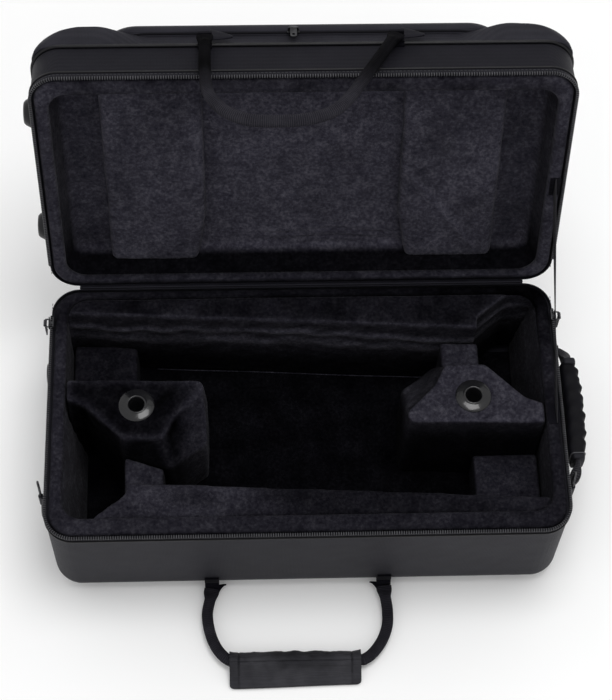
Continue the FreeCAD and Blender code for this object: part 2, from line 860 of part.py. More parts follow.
def sliderBody(label, placement, coil):
    body = newBody(label, placement)
    near = coil + S.slider_clear
    sliderPlate(body, near)
    neck = rectangle(-S.slider_neck_length / 2, -S.slider_neck / 2, S.slider_neck_length / 2,
                     S.slider_neck / 2)
    pad(body, outline(planeSketch(body, "XZ_Plane", -near - S.slider_plate / 2), neck),
        2 * near + S.slider_plate)
    sliderPlate(body, -near - S.slider_plate)
    sliderLoop(body, near + S.slider_plate)


def pullTab(label, placement, face, length):
    # A tab with a rolled eye that turns on the loop's bar.
    out = face + S.loop_reach
    bore = S.loop_wire + S.pull_clear
    body = newBody(label, placement * Placement(Vector(0, -out.number, 0), Rotation()))
    half = S.pull_width / 2
    low = bore + S.pull_wall / 2
    tab = [(-half, -length, S.pull_round), (half, -length, S.pull_round), (half, -low),
           (-half, -low)]
    pad(body, outline(planeSketch(body, "XZ_Plane", -S.pull_thickness / 2), tab), S.pull_thickness)
    pad(body, ring(planeSketch(body, "YZ_Plane", -half), 0, 0, bore + S.pull_wall), S.pull_width)
    hole = ring(planeSketch(body, "YZ_Plane", -half - S.overrun), 0, 0, bore)
    pocket(body, hole, S.pull_width + 2 * S.overrun, reverse=True)
    slot = ring(planeSketch(body, "XZ_Plane", -S.pull_thickness / 2 - S.overrun), 0,
                S.pull_hole_in - length, S.pull_hole)
    pocket(body, slot, S.pull_thickness + 2 * S.overrun, reverse=True)


def endZips():
    for side, hand in (("left", -1), ("right", 1)):
        spot = Vector(hand * halfLength.number, (halfWidth - S.slider_stop).number, S.base_height.number)
        placement = Placement(spot, Rotation(Vector(0, 0, 1), hand * 90))
        sliderBody("zip_slider_" + side, placement, S.coil_radius)
        face = S.coil_radius + S.slider_clear + S.slider_plate
        pullTab("zip_pull_" + side, placement, face, S.pull_length)


def pocketZip():
    # The pocket's zip runs along the front of the flap's seam and down both ends.
    coil = newBody("pocket_zip", lidOpen)
    level = flapLow + S.pocket_zip_lift
    x = halfLength - S.pocket_inset - S.pocket_end_slope
    y = halfWidth - S.pocket_inset - S.pocket_front_slope
    reach = S.pocket_coil_out
    end = halfWidth - S.pocket_zip_stop
    path = [(-x - reach, end), (-x - reach, -y - reach, S.pocket_top_corner + reach),
            (x + reach, -y - reach, S.pocket_top_corner + reach), (x + reach, end)]
    spine = outline(planeSketch(coil, "XY_Plane", level), path, closed=False)
    pipe(coil, ring(planeSketch(coil, "XZ_Plane", -end), -x - reach, level, S.pocket_coil), spine)
    out = y + reach + S.slider_clear
    spot = Vector(S.pocket_slider_x.number, -out.number, level.number)
    placement = lidOpen * Placement(spot, Rotation())
    pocketSlider(placement)
    pullTab("pocket_pull", placement, S.pocket_coil + S.slider_plate, S.pocket_pull_length)


def pocketSlider(placement):
    # Only the outer half shows, so the slider is one plate with its loop.
    body = newBody("pocket_slider", placement)
    sliderPlate(body, S.pocket_coil)
    sliderLoop(body, S.pocket_coil + S.slider_plate)


# Hinge: a fabric strip glued outside both bands, folded into the gap behind the open lid.

hinge_in = 31
hinge_thickness = 0.8
hinge_lap = 18
fileSizes("Hinge")


def hingeFabric():
    body = newBody("hinge_fabric", Placement(hingeLine, Rotation()))
    reach = halfLength - S.hinge_in
    near = S.soft_gap
    far = S.soft_gap + S.hinge_thickness
    half = (180 - S.lid_open_angle) / 2
    bend = cosine(half) / sine(half)
    overY = sine(S.lid_open_angle) * S.hinge_lap
    overZ = cosine(S.lid_open_angle) * S.hinge_lap
    offY = cosine(S.lid_open_angle)
    offZ = -sine(S.lid_open_angle)
    profile = [(near, -S.hinge_lap), (near, -near * bend), (overY + offY * near, overZ + offZ * near),
               (overY + offY * far, overZ + offZ * far), (far, -far * bend), (far, -S.hinge_lap)]
    sketch = outline(planeSketch(body, "YZ_Plane", -reach), profile)
    pad(body, sketch, 2 * reach)


# Stay strap at the right end: it stops the lid, and its ends are sewn to the two rolls.

stay_in = 10
stay_width = 25
stay_thickness = 1.2
stay_base_y = -15
stay_lid_reach = 147.6
stay_lift = 0.3
stay_tab_width = 12
stay_tab_thickness = 0.4
fileSizes("Stay strap")

stayX = halfLength - S.stay_in


def stayStrap():
    body = newBody("stay_strap")
    level = S.base_height + S.stay_lift
    half = S.stay_width / 2
    alongY = -cosine(S.lid_open_angle)
    alongZ = sine(S.lid_open_angle)
    lift = S.stay_lift
    endY = halfWidth + alongY * S.stay_lid_reach - alongZ * lift
    endZ = S.base_height + alongZ * S.stay_lid_reach + alongY * lift
    band = [(S.stay_base_y - half, level), (S.stay_base_y + half, level),
            (endY - alongY * half, endZ - alongZ * half), (endY + alongY * half, endZ + alongZ * half)]
    side = stayX - S.stay_thickness / 2
    pad(body, outline(planeSketch(body, "YZ_Plane", side), band), S.stay_thickness)


def stayTab(label, low, y, placement=None):
    body = newBody(label, placement)
    x = S.stay_tab_width / 2
    half = S.stay_width / 2
    plan = rectangle(stayX - x, y - half, stayX + x, y + half, S.stay_tab_thickness)
    pad(body, outline(planeSketch(body, "XY_Plane", low), plan), S.stay_tab_thickness)


def stay():
    stayStrap()
    stayTab("stay_tab_base", S.base_height - S.rim_sink, S.stay_base_y)
    low = S.base_height + S.rim_sink - S.stay_tab_thickness
    stayTab("stay_tab_lid", low, halfWidth - S.stay_lid_reach, lidOpen)


# Feet: four rubber domes on the left end, two on each half, for standing the case on end.

foot_radius = 17
foot_height = 12
foot_shoulder = 4
foot_dome = 6
foot_crown = 12
foot_in = 70
foot_base_drop = 79
foot_lid_depth = 31
fileSizes("Feet")


def foot(label, y, z, onLid):
    upright = Placement(Vector(-halfLength.number, y.number, z.number), Rotation(Vector(0, 1, 0), -90))
    body = newBody(label, lidOpen * upright if onLid else upright)
    profile = [(0, 0), (S.foot_radius, 0), (S.foot_radius, S.foot_shoulder, S.foot_shoulder / 2),
               (S.foot_crown, S.foot_height, S.foot_dome), (0, S.foot_height)]
    revolve(body, outline(planeSketch(body, "XZ_Plane"), profile))


def feet():
    for side, hand in (("front", -1), ("back", 1)):
        foot("foot_base_" + side, (halfWidth - S.foot_in) * hand, S.base_height - S.foot_base_drop, False)
        foot("foot_lid_" + side, (halfWidth - S.foot_in) * hand, S.base_height + S.foot_lid_depth, True)


# Front handle: rolled webbing that lies on the floor, sewn to two anchors that lap the bottom edge.

webbing_radius = 6.3
handle_level = 10.1
pivot_reach = 6
ear_length = 16
ear_width = 26
ear_half_thickness = 1.4
ear_round = 1.2
left_leg_x = -108
right_leg_x = 87.5
left_bow_x = -114
right_bow_x = 91.5
bow_y = 32
left_bend_x = -110
right_bend_x = 86
bend_y = 60
left_grip_x = -95
right_grip_x = 66
grip_line = 87
leg_round = 30
bend_round = 20
left_grip_round = 12
anchor_thickness = 2.5
anchor_width = 38
anchor_clear = 0.6
nose_low = 4
nose_high = 5
fileSizes("Front handle")

pivotY = -halfWidth - S.pivot_reach
frontPivot = Vector(0, pivotY.number, S.handle_level.number)


def ear(body, x, high, width):
    # The flat end of a rolled handle, with a round edge on the swing axis.
    thick = S.ear_half_thickness
    profile = [(thick, -thick, S.ear_round), (thick, thick, S.ear_round), (-high, thick), (-high, -thick)]
    sketch = outline(planeSketch(body, "YZ_Plane", x - width / 2), profile)
    return pad(body, sketch, width)


def frontHandle():
    body = newBody("front_handle", Placement(frontPivot, Rotation()))
    start = -S.ear_length / 2
    path = [
        (S.left_leg_x, start),
        (S.left_bow_x, -S.bow_y, S.leg_round),
        (S.left_bend_x, -S.bend_y, S.bend_round),
        (S.left_grip_x, -S.grip_line, S.left_grip_round),
        (S.right_grip_x, -S.grip_line, S.bend_round),
        (S.right_bend_x, -S.bend_y, S.bend_round),
        (S.right_bow_x, -S.bow_y, S.leg_round),
        (S.right_leg_x, start),
    ]
    spine = outline(planeSketch(body, "XY_Plane"), path, closed=False)
    roll = ring(planeSketch(body, "XZ_Plane", -start), S.left_leg_x, 0, S.webbing_radius)
    pipe(body, roll, spine)
    for x in (S.left_leg_x, S.right_leg_x):
        ear(body, x, S.ear_length, S.ear_width)


def frontAnchor(side, x):
    body = newBody("front_handle_anchor_" + side)
    top = S.bottom_radius + S.nose_high
    inner = -halfWidth - S.soft_gap
    outer = inner - S.anchor_thickness
    under = -S.soft_gap
    end = S.bottom_radius - halfWidth + S.overrun
    band = [(inner, top), (inner, under, S.bottom_radius + S.soft_gap), (end, under),
            (end, under - S.anchor_thickness),
            (outer, under - S.anchor_thickness, S.bottom_radius + S.soft_gap + S.anchor_thickness),
            (outer, top)]
    start = x - S.anchor_width / 2
    pad(body, outline(planeSketch(body, "YZ_Plane", start), band), S.anchor_width)
    tip = pivotY + S.ear_half_thickness + S.soft_gap
    nose = [(tip, S.handle_level - S.ear_half_thickness), (tip, S.handle_level + S.ear_half_thickness),
            (inner - S.soft_gap, S.handle_level + S.nose_high),
            (inner + S.nose_low, S.handle_level), (inner + S.nose_low, S.handle_level - S.nose_low)]
    pad(body, outline(planeSketch(body, "YZ_Plane", start), nose), S.anchor_width)
    floorCut = rectangle(-S.case_width, -S.case_width, S.case_width, S.anchor_clear)
    pocket(body, outline(planeSketch(body, "YZ_Plane", start - S.overrun), floorCut),
           S.anchor_width + 2 * S.overrun, reverse=True)


# The wrap round the handle: a sleeve with a long lower lip, and the flap that closes over it.

wrap_left = -89
wrap_right = 58
wrap_bore = 6.8
wrap_outer = 9.4
wrap_depth = 30
lip_thickness = 2.4
flap_drop = 0.4
flap_knee = 9.4
flap_knee_high = 7.5
flap_knee_low = 4.1
flap_knee_round = 4.8
wrap_opening = 2.2
fileSizes("Grip wrap")

wrapY = pivotY - S.grip_line


def gripWrap():
    # The sleeve is a tube with its lip laid forward from the underside. It opens at the front.
    body = newBody("grip_wrap", Placement(Vector(0, wrapY.number, S.handle_level.number), Rotation()))
    length = S.wrap_right - S.wrap_left
    tube = ring(planeSketch(body, "YZ_Plane", S.wrap_left), 0, 0, S.wrap_outer)
    pad(body, tube, length)
    low = -S.wrap_outer
    lip = rectangle(-S.wrap_depth, low, 0, low + S.lip_thickness)
    pad(body, outline(planeSketch(body, "YZ_Plane", S.wrap_left), lip), length)
    start = planeSketch(body, "YZ_Plane", S.wrap_left - S.overrun)
    pocket(body, ring(start, 0, 0, S.wrap_bore), length + 2 * S.overrun, reverse=True)
    mouth = rectangle(-S.wrap_depth - S.overrun, low + S.lip_thickness, -S.wrap_opening, S.case_width)
    start = planeSketch(body, "YZ_Plane", S.wrap_left - S.overrun)
    pocket(body, outline(start, mouth), length + 2 * S.overrun, reverse=True)


def gripFlap():
    # The flap starts beside the top of the sleeve and slopes down to the lip.
    body = newBody("grip_flap", Placement(Vector(0, wrapY.number, S.handle_level.number), Rotation()))
    back = -S.wrap_opening - S.soft_gap
    high = S.wrap_outer
    low = S.lip_thickness - S.wrap_outer + S.soft_gap + S.flap_drop
    thick = S.lip_thickness
    knee = back - S.flap_knee
    profile = [(back, high - thick), (back, high, thick / 2), (knee, S.flap_knee_high, S.flap_knee_round),
               (-S.wrap_depth, low + thick), (-S.wrap_depth, low),
               (knee, S.flap_knee_low, S.flap_knee_round - thick)]
    sketch = outline(planeSketch(body, "YZ_Plane", S.wrap_left), profile)
    pad(body, sketch, S.wrap_right - S.wrap_left)


def frontHandleParts():
    frontHandle()
    frontAnchor("left", S.left_leg_x)
    frontAnchor("right", S.right_leg_x)
    gripWrap()
    gripFlap()


# Lid handle: the same webbing in a plain loop, hung from two tabs on the lid's front seam.

lid_handle_reach = 9.5
lid_handle_level = 58
lid_handle_drop = 137
lid_handle_left = -103
lid_handle_right = 98
lid_handle_low_left = -101
lid_handle_low_right = 31
lid_handle_left_round = 56
lid_handle_right_round = 50
lid_handle_bend = 20
lid_handle_bend_round = 30
tab_width = 32
tab_height = 14
tab_thickness = 2.6
tab_fold = 0.5
fileSizes("Lid handle")

lidPivot = Vector(0, -halfWidth.number - S.lid_handle_reach.number,
                  S.base_height.number + S.lid_handle_level.number)


def lidHandle():
    body = newBody("lid_handle", lidOpen * Placement(lidPivot, Rotation()))
    path = [
        (S.lid_handle_left, -S.ear_length / 2),
        (S.lid_handle_low_left, -S.lid_handle_drop, S.lid_handle_left_round),
        (S.lid_handle_low_right, -S.lid_handle_drop, S.lid_handle_right_round),
        (S.lid_handle_right, -S.lid_handle_bend, S.lid_handle_bend_round),
        (S.lid_handle_right, -S.ear_length / 2),
    ]
    spine = outline(planeSketch(body, "XZ_Plane"), path, closed=False)
    roll = ring(planeSketch(body, "XY_Plane", -S.ear_length / 2), S.lid_handle_left, 0, S.webbing_radius)
    pipe(body, roll, spine)
    for x in (S.lid_handle_left, S.lid_handle_right):
        thick = S.ear_half_thickness
        profile = [(-thick, thick, S.ear_round), (thick, thick, S.ear_round), (thick, -S.ear_length),
                   (-thick, -S.ear_length)]
        start = x - S.ear_width / 2
        pad(body, outline(planeSketch(body, "YZ_Plane", start), profile), S.ear_width)


def lidHandleTab(side, x):
    # A plate under the piping, a strip that rises clear outside the piping, and a shelf over the ear.
    body = newBody("lid_handle_tab_" + side, lidOpen)
    wall = -halfWidth
    top = lidTop - S.lid_top_round
    tip = S.base_height + S.lid_handle_level + S.ear_half_thickness + S.soft_gap
    axis = wall - S.lid_handle_reach
    plate = wall - S.tab_thickness
    profile = [
        (wall, top - S.tab_height),
        (wall, top),
        (wall - S.tab_thickness / 2, top + S.tab_thickness - S.tab_fold / 2),
        (plate, top + S.tab_thickness + S.tab_fold),
        (plate, tip + S.tab_thickness),
        (axis - S.ear_half_thickness, tip + S.tab_thickness),
        (axis - S.ear_half_thickness, tip),
        (plate - S.tab_thickness, tip),
        (plate - S.tab_thickness, top + S.tab_thickness),
        (plate, top + S.tab_thickness - S.tab_fold),
        (plate, top - S.tab_height),
    ]
    start = x - S.tab_width / 2
    pad(body, outline(planeSketch(body, "YZ_Plane", start), profile), S.tab_width)


def lidHandleParts():
    lidHandle()
    lidHandleTab("left", S.lid_handle_left)
    lidHandleTab("right", S.lid_handle_right)


# End grip on the right end: a strap on two pinned brackets, through a grip with finger scallops.

grip_drop = 48
grip_axis_reach = 7
grip_back = 84
grip_front = -80
bracket_width = 22
bracket_height = 26
bracket_plate = 2.4
bracket_cheek = 3
bracket_nose = 4.2
eye_radius = 3.8
eye_bore = 1.8
eye_length = 12
pin_radius = 1.5
strap_thickness = 3
strap_height = 24
grip_start = -48
grip_end = 66
grip_body_inner = 11
grip_body_bend = 3
grip_body_outer = 11
grip_body_fall = 2.5
grip_body_height = 30
grip_body_round = 4
finger_pitch = 18
finger_radius = 10.5
finger_cut = 4.5
bow_reach = 22
bow_round = 96
grip_outer_round = 48
nose_round = 3.8
bow_share = 0.8
grip_corner_share = 0.4
finger_count = 6
fileSizes("End grip")

gripAxisX = halfLength + S.grip_axis_reach
gripLevel = S.base_height - S.grip_drop


def endPlacement():
    return Placement(Vector(gripAxisX.number, 0, gripLevel.number), Rotation())


def strapBand(half):
    # The strap's plan: from one eye it bows out through the grip and returns to the other eye.
    bow = S.bow_reach - S.grip_axis_reach
    knee = S.eye_length
    middle = [(0, S.grip_back), (bow * bow_share, S.grip_end, knee), (bow, 0, S.bow_round),
              (bow * bow_share, S.grip_start, knee), (0, S.grip_front)]
    outside = [(x + half, y) + tuple(rest) for x, y, *rest in middle]
    inside = [(x - half, y) + tuple(rest) for x, y, *rest in reversed(middle)]
    return outside + inside


def endGripStrap():
    body = newBody("end_grip_strap", endPlacement())
    band = strapBand(S.strap_thickness / 2)
    pad(body, outline(planeSketch(body, "XY_Plane", -S.strap_height / 2), band), S.strap_height)
    bow = S.bow_reach - S.grip_axis_reach
    trim = [(-S.strap_height, S.eye_radius), (0, S.eye_radius), (bow * bow_share, S.strap_height),
            (-S.strap_height, S.strap_height)]
    for hand in (-1, 1):
        start = planeSketch(body, "XZ_Plane", -S.grip_back - S.overrun)
        pocket(body, outline(start, [(x, z * hand) for x, z in trim]), S.case_width, reverse=True)
    for y in (S.grip_back, S.grip_front):
        eye = ring(planeSketch(body, "XZ_Plane", -y - S.eye_length / 2), 0, 0, S.eye_radius)
        pad(body, eye, S.eye_length)
        bore = ring(planeSketch(body, "XZ_Plane", -y - S.eye_length), 0, 0, S.eye_bore)
        pocket(body, bore, 2 * S.eye_length, reverse=True)


def endGripBody():
    body = newBody("end_grip", endPlacement())
    bow = S.bow_reach - S.grip_axis_reach
    outer = bow + S.grip_body_outer
    inner = bow - S.grip_body_inner
    plan = [(inner - S.grip_body_bend, S.grip_start), (outer - S.grip_body_fall, S.grip_start),
            (outer, S.grip_start * grip_corner_share, S.grip_outer_round),
            (outer, S.grip_end * grip_corner_share, S.grip_outer_round),
            (outer - S.grip_body_fall, S.grip_end), (inner - S.grip_body_bend, S.grip_end),
            (inner, 0, S.bow_round)]
    low = -S.grip_body_height / 2
    block = pad(body, outline(planeSketch(body, "XY_Plane", low), plan), S.grip_body_height)
    soften(body, block, lambda edge: isLevel(edge) and edge.BoundBox.YLength > S.strap_height.number / 2,
           S.grip_body_round)
    middle = (S.grip_start + S.grip_end) / 2
    for finger in range(finger_count):
        place = middle + (finger - (finger_count - 1) / 2) * S.finger_pitch
        dent = ring(planeSketch(body, "XY_Plane", low - S.overrun),
                    outer + S.finger_radius - S.finger_cut, place, S.finger_radius)
        pocket(body, dent, S.grip_body_height + 2 * S.overrun, reverse=True)
    slot = outline(planeSketch(body, "XY_Plane", -S.strap_height / 2 - S.soft_gap),
                   strapBand(S.strap_thickness / 2 + S.soft_gap))
    pocket(body, slot, S.strap_height + 2 * S.soft_gap, reverse=True)


def gripBracket(side, y, hand):
    # A plate on the wall, a post beyond the eye and a pin from the post into the eye.
    spot = Vector(gripAxisX.number, y.number, gripLevel.number)
    turn = Rotation(Vector(0, 0, 1), 0) if hand > 0 else Rotation(Vector(1, 0, 0), 180)
    body = newBody("grip_bracket_" + side, Placement(spot, turn))
    wall = -S.grip_axis_reach
    near = S.eye_length / 2 + S.soft_gap
    far = near + S.bracket_cheek
    half = S.bracket_height / 2
    plate = rectangle(wall, -half, wall + S.bracket_plate, half)
    pad(body, outline(planeSketch(body, "XZ_Plane", -far), plate), S.bracket_width)
    nose = [(wall, -half), (0, -S.bracket_nose, S.bracket_nose / 2),
            (S.bracket_nose, -S.bracket_nose, S.nose_round),
            (S.bracket_nose, S.bracket_nose, S.nose_round),
            (0, S.bracket_nose, S.bracket_nose / 2), (wall, half)]
    pad(body, outline(planeSketch(body, "XZ_Plane", -far), nose), S.bracket_cheek)
    pin = ring(planeSketch(body, "XZ_Plane", -far), 0, 0, S.pin_radius)
    pad(body, pin, far + S.eye_length / 2 - S.soft_gap)


def endGripParts():
    endGripStrap()
    endGripBody()
    gripBracket("back", S.grip_back, 1)
    gripBracket("front", S.grip_front, -1)


for build in (baseShell, lidShell, rimRolls, zips, baseLining, pitFittings, lidInside, lidPiping,
              pocketGusset, pocketFlap, dRings, endZips, pocketZip, hingeFabric, stay, feet, frontHandleParts,
              lidHandleParts, endGripParts):
    build()

doc.recompute()
faulty = [item.Label for item in doc.Objects if "Invalid" in item.State or "Error" in item.State]
faulty += [item.Label for item in subParts if item.Shape.isNull() or not item.Shape.isValid()]
if faulty:
    raise ValueError("not built: " + ", ".join(faulty))

os.makedirs("parts", exist_ok=True)
for item in subParts:
    item.Shape.exportStep("parts/" + item.Label + ".step")
    print(item.Label, len(item.Shape.Solids), round(item.Shape.Volume))
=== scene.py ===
import bpy
import bmesh
import math
import numpy as np
from mathutils import Matrix, Vector


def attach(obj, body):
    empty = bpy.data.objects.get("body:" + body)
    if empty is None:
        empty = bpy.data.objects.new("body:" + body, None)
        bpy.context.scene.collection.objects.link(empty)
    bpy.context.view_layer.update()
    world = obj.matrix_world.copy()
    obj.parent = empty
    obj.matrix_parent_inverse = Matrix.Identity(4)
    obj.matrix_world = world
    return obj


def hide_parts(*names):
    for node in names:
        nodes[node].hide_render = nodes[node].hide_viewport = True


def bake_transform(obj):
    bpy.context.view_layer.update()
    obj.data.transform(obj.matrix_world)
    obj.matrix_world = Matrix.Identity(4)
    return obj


# A double trumpet case, open, on a pale floor. Metres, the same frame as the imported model.

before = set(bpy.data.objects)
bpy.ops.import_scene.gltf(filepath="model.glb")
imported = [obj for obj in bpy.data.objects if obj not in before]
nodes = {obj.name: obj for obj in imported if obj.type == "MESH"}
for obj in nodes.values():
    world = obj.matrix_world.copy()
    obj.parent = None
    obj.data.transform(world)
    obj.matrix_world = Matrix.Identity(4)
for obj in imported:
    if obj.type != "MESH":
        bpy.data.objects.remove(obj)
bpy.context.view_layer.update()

case = {
    "length": 0.570,
    "width": 0.306,
    "rim": 0.158,  # height of the plane where base and lid meet
    "cornerRadius": 0.031,
    "lidAngle": 104.7,
    "lidBodies": ("lid", "lid_handle", "pocket_flap"),
}
halfLength, halfWidth, rim = case["length"] / 2, case["width"] / 2, case["rim"]
lidTurn = math.radians(case["lidAngle"])


def turnLid(points, sense=1):
    # Points of the shut lid turned about the hinge line into the open lid, or back with a sense of -1.
    y, z = points[..., 1] - halfWidth, points[..., 2] - rim
    cosine, sine = math.cos(lidTurn), sense * math.sin(lidTurn)
    turned = points.copy()
    turned[..., 1] = halfWidth + y * cosine + z * sine
    turned[..., 2] = rim - y * sine + z * cosine
    return turned


def ripple(points, size, seed):
    # A smooth field from -1 to 1: sine waves in seeded directions, each octave half as long and high.
    waves = np.random.default_rng(seed)
    total = np.zeros(len(points))
    for octave in range(3):
        for wave in range(5):
            direction = waves.normal(size=3)
            direction *= 2 * math.pi * 2 ** octave / (size * np.linalg.norm(direction))
            total += np.sin(points @ direction + waves.uniform(0, 2 * math.pi)) / 2 ** octave
    return total / 5


def smoothStep(value, low, high):
    # From 0 at low to 1 at high, level at both.
    share = np.clip((value - low) / (high - low), 0, 1)
    return share * share * (3 - 2 * share)


def mix(first, second, share):
    return first + (second - first) * share


def ridge(value, centre, width, power=2):
    # A bell round a centre, 1 at its top.
    return np.exp(-((value - centre) / width) ** power)


def circle(count):
    return np.linspace(0, 2 * math.pi, count, endpoint=False)


def squared(angle, power):
    # The cosine and sine raised to a power with their signs kept: the lower the power, the squarer.
    return [np.sign(wave) * np.abs(wave) ** power for wave in (np.cos(angle), np.sin(angle))]


def atHeight(loop, height):
    # A flat loop lifted by one height, or by one for each of its points.
    return np.concatenate([loop, np.broadcast_to(height, len(loop))[:, None]], -1)


def readRows(items, key):
    # One vector for each point of a mesh.
    values = np.zeros(len(items) * 3, np.float32)
    items.foreach_get(key, values)
    return values.reshape(-1, 3).astype(float)


def setPoints(mesh, points):
    mesh.vertices.foreach_set("co", points.astype(np.float32).ravel())
    mesh.update()


def newObject(name, data):
    item = bpy.data.objects.new(name, data)
    bpy.context.scene.collection.objects.link(item)
    return item


def weld(mesh, turnOut):
    # Points at one place become one, and the faces of a closed shape are turned to point out of it.
    shape = bmesh.new()
    shape.from_mesh(mesh)
    bmesh.ops.remove_doubles(shape, verts=shape.verts, dist=1e-6)
    if turnOut:
        bmesh.ops.recalc_face_normals(shape, faces=shape.faces)
    shape.to_mesh(mesh)
    shape.free()
    mesh.update()


def layPaintedLightAndNap(mesh, lie, edge):
    # How light the cloth looks at each point, as painted light with the brushed pile: the value given there, lifted
    # on outward curves as a painted highlight where the pile is also worn, and cut in hollows as painted shade.
    points, normals = readRows(mesh.vertices, "co"), readRows(mesh.vertex_normals, "vector")
    bend = np.zeros(len(points))
    if edge:
        pairs = np.zeros(len(mesh.edges) * 2, np.int32)
        mesh.edges.foreach_get("vertices", pairs)
        first, second = pairs.reshape(-1, 2).T

        def sumAround(values):
            total = np.zeros_like(values)
            np.add.at(total, first, values[second])
            np.add.at(total, second, values[first])
            return total

        count = np.maximum(sumAround(np.ones(len(points))), 1)
        step = np.linalg.norm(points[first] - points[second], axis=1).mean()
        bend = ((points - sumAround(points) / count[:, None]) * normals).sum(1) / step
        for sweep in range(3):
            bend = bend * 0.4 + sumAround(bend) / count * 0.6
    values = lie(points, normals) + edge * np.clip(bend * 4, -0.5, 1)
    layer = mesh.attributes.new("nap", "FLOAT", "POINT")
    layer.data.foreach_set("value", np.clip(values, 0.04, 2).astype(np.float32))


def nodeName(name):
    return "".join("_" + letter.lower() if letter.isupper() else letter for letter in name)


def dress(piece, material):
    piece.data.materials.clear()
    piece.data.materials.append(material)


def finishPiece(piece, body, material, slotName, lie=None, edge=0.0, fill=None):
    # A piece replaces the CAD node of its own name. A lie lays light and dark on it. The fill is not used.
    # What is set on the points is painted light and shade, mixed with the brushed pile's own light and dark.
    dress(piece, material)
    if body:
        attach(piece, body)
    if nodeName(piece.name) in nodes:
        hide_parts(nodeName(piece.name))
    if lie:
        layPaintedLightAndNap(piece.data, lie, edge)
    return piece


def makePiece(name, points, faces, body, material, slotName, uvs=None, shut=True, **finish):
    # A piece of the lid is drawn on the shut lid and opened here.
    mesh = bpy.data.meshes.new(name)
    points = turnLid(points) if body in case["lidBodies"] else points
    mesh.from_pydata(points.reshape(-1, 3).tolist(), [], faces)
    if uvs is not None:
        layer = mesh.uv_layers.new(name="UVMap")
        index = np.zeros(len(mesh.loops), np.int32)
        mesh.loops.foreach_get("vertex_index", index)
        layer.data.foreach_set("uv", np.asarray(uvs, np.float32)[index].ravel())
    mesh.polygons.foreach_set("use_smooth", np.full(len(mesh.polygons), True))
    mesh.update()
    if shut:
        weld(mesh, True)
    return finishPiece(newObject(name, mesh), body, material, slotName, **finish)


def gridFaces(rows, columns, closeRows=False, closeColumns=True):
    # Quads of a grid of rows by columns, joined back to the first row or column where it is closed.
    row = np.arange(rows if closeRows else rows - 1)
    column = np.arange(columns if closeColumns else columns - 1)
    r, c = (part.ravel() for part in np.meshgrid(row, column, indexing="ij"))
    nextRow, nextColumn = (r + 1) % rows * columns, (c + 1) % columns
    return np.stack([r * columns + c, r * columns + nextColumn, nextRow + nextColumn, nextRow + c], -1).tolist()


def tubeFaces(rows, columns):
    # Quads between rings of points, and a cap on the first and last ring.
    caps = [list(range(columns)), list(range((rows - 1) * columns, rows * columns))[::-1]]
    return gridFaces(rows, columns) + caps


def smoothPath(points, count):
    # A Catmull-Rom curve through the points, at even steps along its length.
    points = np.asarray(points, float)
    around = np.concatenate([2 * points[:1] - points[1:2], points, 2 * points[-1:] - points[-2:-1]])
    t = np.linspace(0, 1, 24, endpoint=False)[:, None]
    runs = []
    for a, b, c, d in zip(around[:-3], around[1:-2], around[2:-1], around[3:]):
        runs.append(0.5 * (2 * b + (c - a) * t + (2 * a - 5 * b + 4 * c - d) * t ** 2
                           + (3 * b - a - 3 * c + d) * t ** 3))
    return evenSteps(np.concatenate(runs + [around[-2][None]]), count)


def evenSteps(line, count=None, step=None):
    # Points along a line: a count of them from end to end, or one for each step, half a step in.
    length = np.concatenate([[0], np.cumsum(np.linalg.norm(np.diff(line, axis=0), axis=1))])
    at = np.linspace(0, length[-1], count) if count else np.arange(step / 2, length[-1], step)
    return np.stack([np.interp(at, length, column) for column in line.T], -1), length[-1]


def framesAlong(path, up):
    # Tangent, side and up at each point: side is the tangent crossed with a fixed up direction.
    tangent = np.gradient(path, axis=0)
    tangent /= np.linalg.norm(tangent, axis=1, keepdims=True)
    side = np.cross(tangent, np.broadcast_to(up, tangent.shape))
    side /= np.linalg.norm(side, axis=1, keepdims=True)
    return tangent, side, np.cross(side, tangent)


def carry(path, side, rise, wide, tall, profile):
    # A closed profile carried along a path, as wide and tall there as given. Fans of triangles close its ends.
    wide, tall = (np.broadcast_to(size, len(path))[:, None, None] for size in (wide, tall))
    across, height = wide * profile[0][:, None], tall * profile[1][:, None]
    points = path[:, None] + side[:, None] * across + rise[:, None] * height
    rows, columns = points.shape[:2]
    first, last = rows * columns, (rows - 1) * columns
    head = [[first, (i + 1) % columns, i] for i in range(columns)]
    tail = [[first + 1, last + i, last + (i + 1) % columns] for i in range(columns)]
    ends = [points[0].mean(0), points[-1].mean(0)]
    return np.concatenate([points.reshape(-1, 3), ends]), gridFaces(rows, columns) + head + tail


def sweepPiece(name, path, up, wide, tall, profile, *rest, **more):
    # A piece made of a profile carried along a path, its tall side kept toward up.
    makePiece(name, *carry(path, *framesAlong(path, up)[1:], wide, tall, profile), *rest, **more)


def stripUvs(around, along):
    # U round the strip and V along it in metres, then the middle point of each end.
    grid = np.stack(np.meshgrid(along, around, indexing="ij")[::-1], -1)
    return np.concatenate([grid.reshape(-1, 2), [[0, 0], [0, along[-1]]]])


def roundedLoop(side, front, back, radius, perCorner, perSide):
    # A rounded rectangle, side to side and front to back, with as many points on every corner and side.
    reach, corners = side - radius, []
    for x, y, start in ((-reach, radius - front, 180), (reach, radius - front, 270), (reach, back - radius, 0),
                        (-reach, back - radius, 90)):
        angle = np.radians(np.linspace(start, start + 90, perCorner))
        corners.append(np.stack([x + radius * np.cos(angle), y + radius * np.sin(angle)], -1))
    share = np.linspace(0, 1, perSide + 2)[1:-1, None]
    loop = []
    for corner, following in zip(corners, corners[1:] + corners[:1]):
        loop += [corner, corner[-1] * (1 - share) + following[0] * share]
    return np.concatenate(loop)


print("scene: helpers ready")


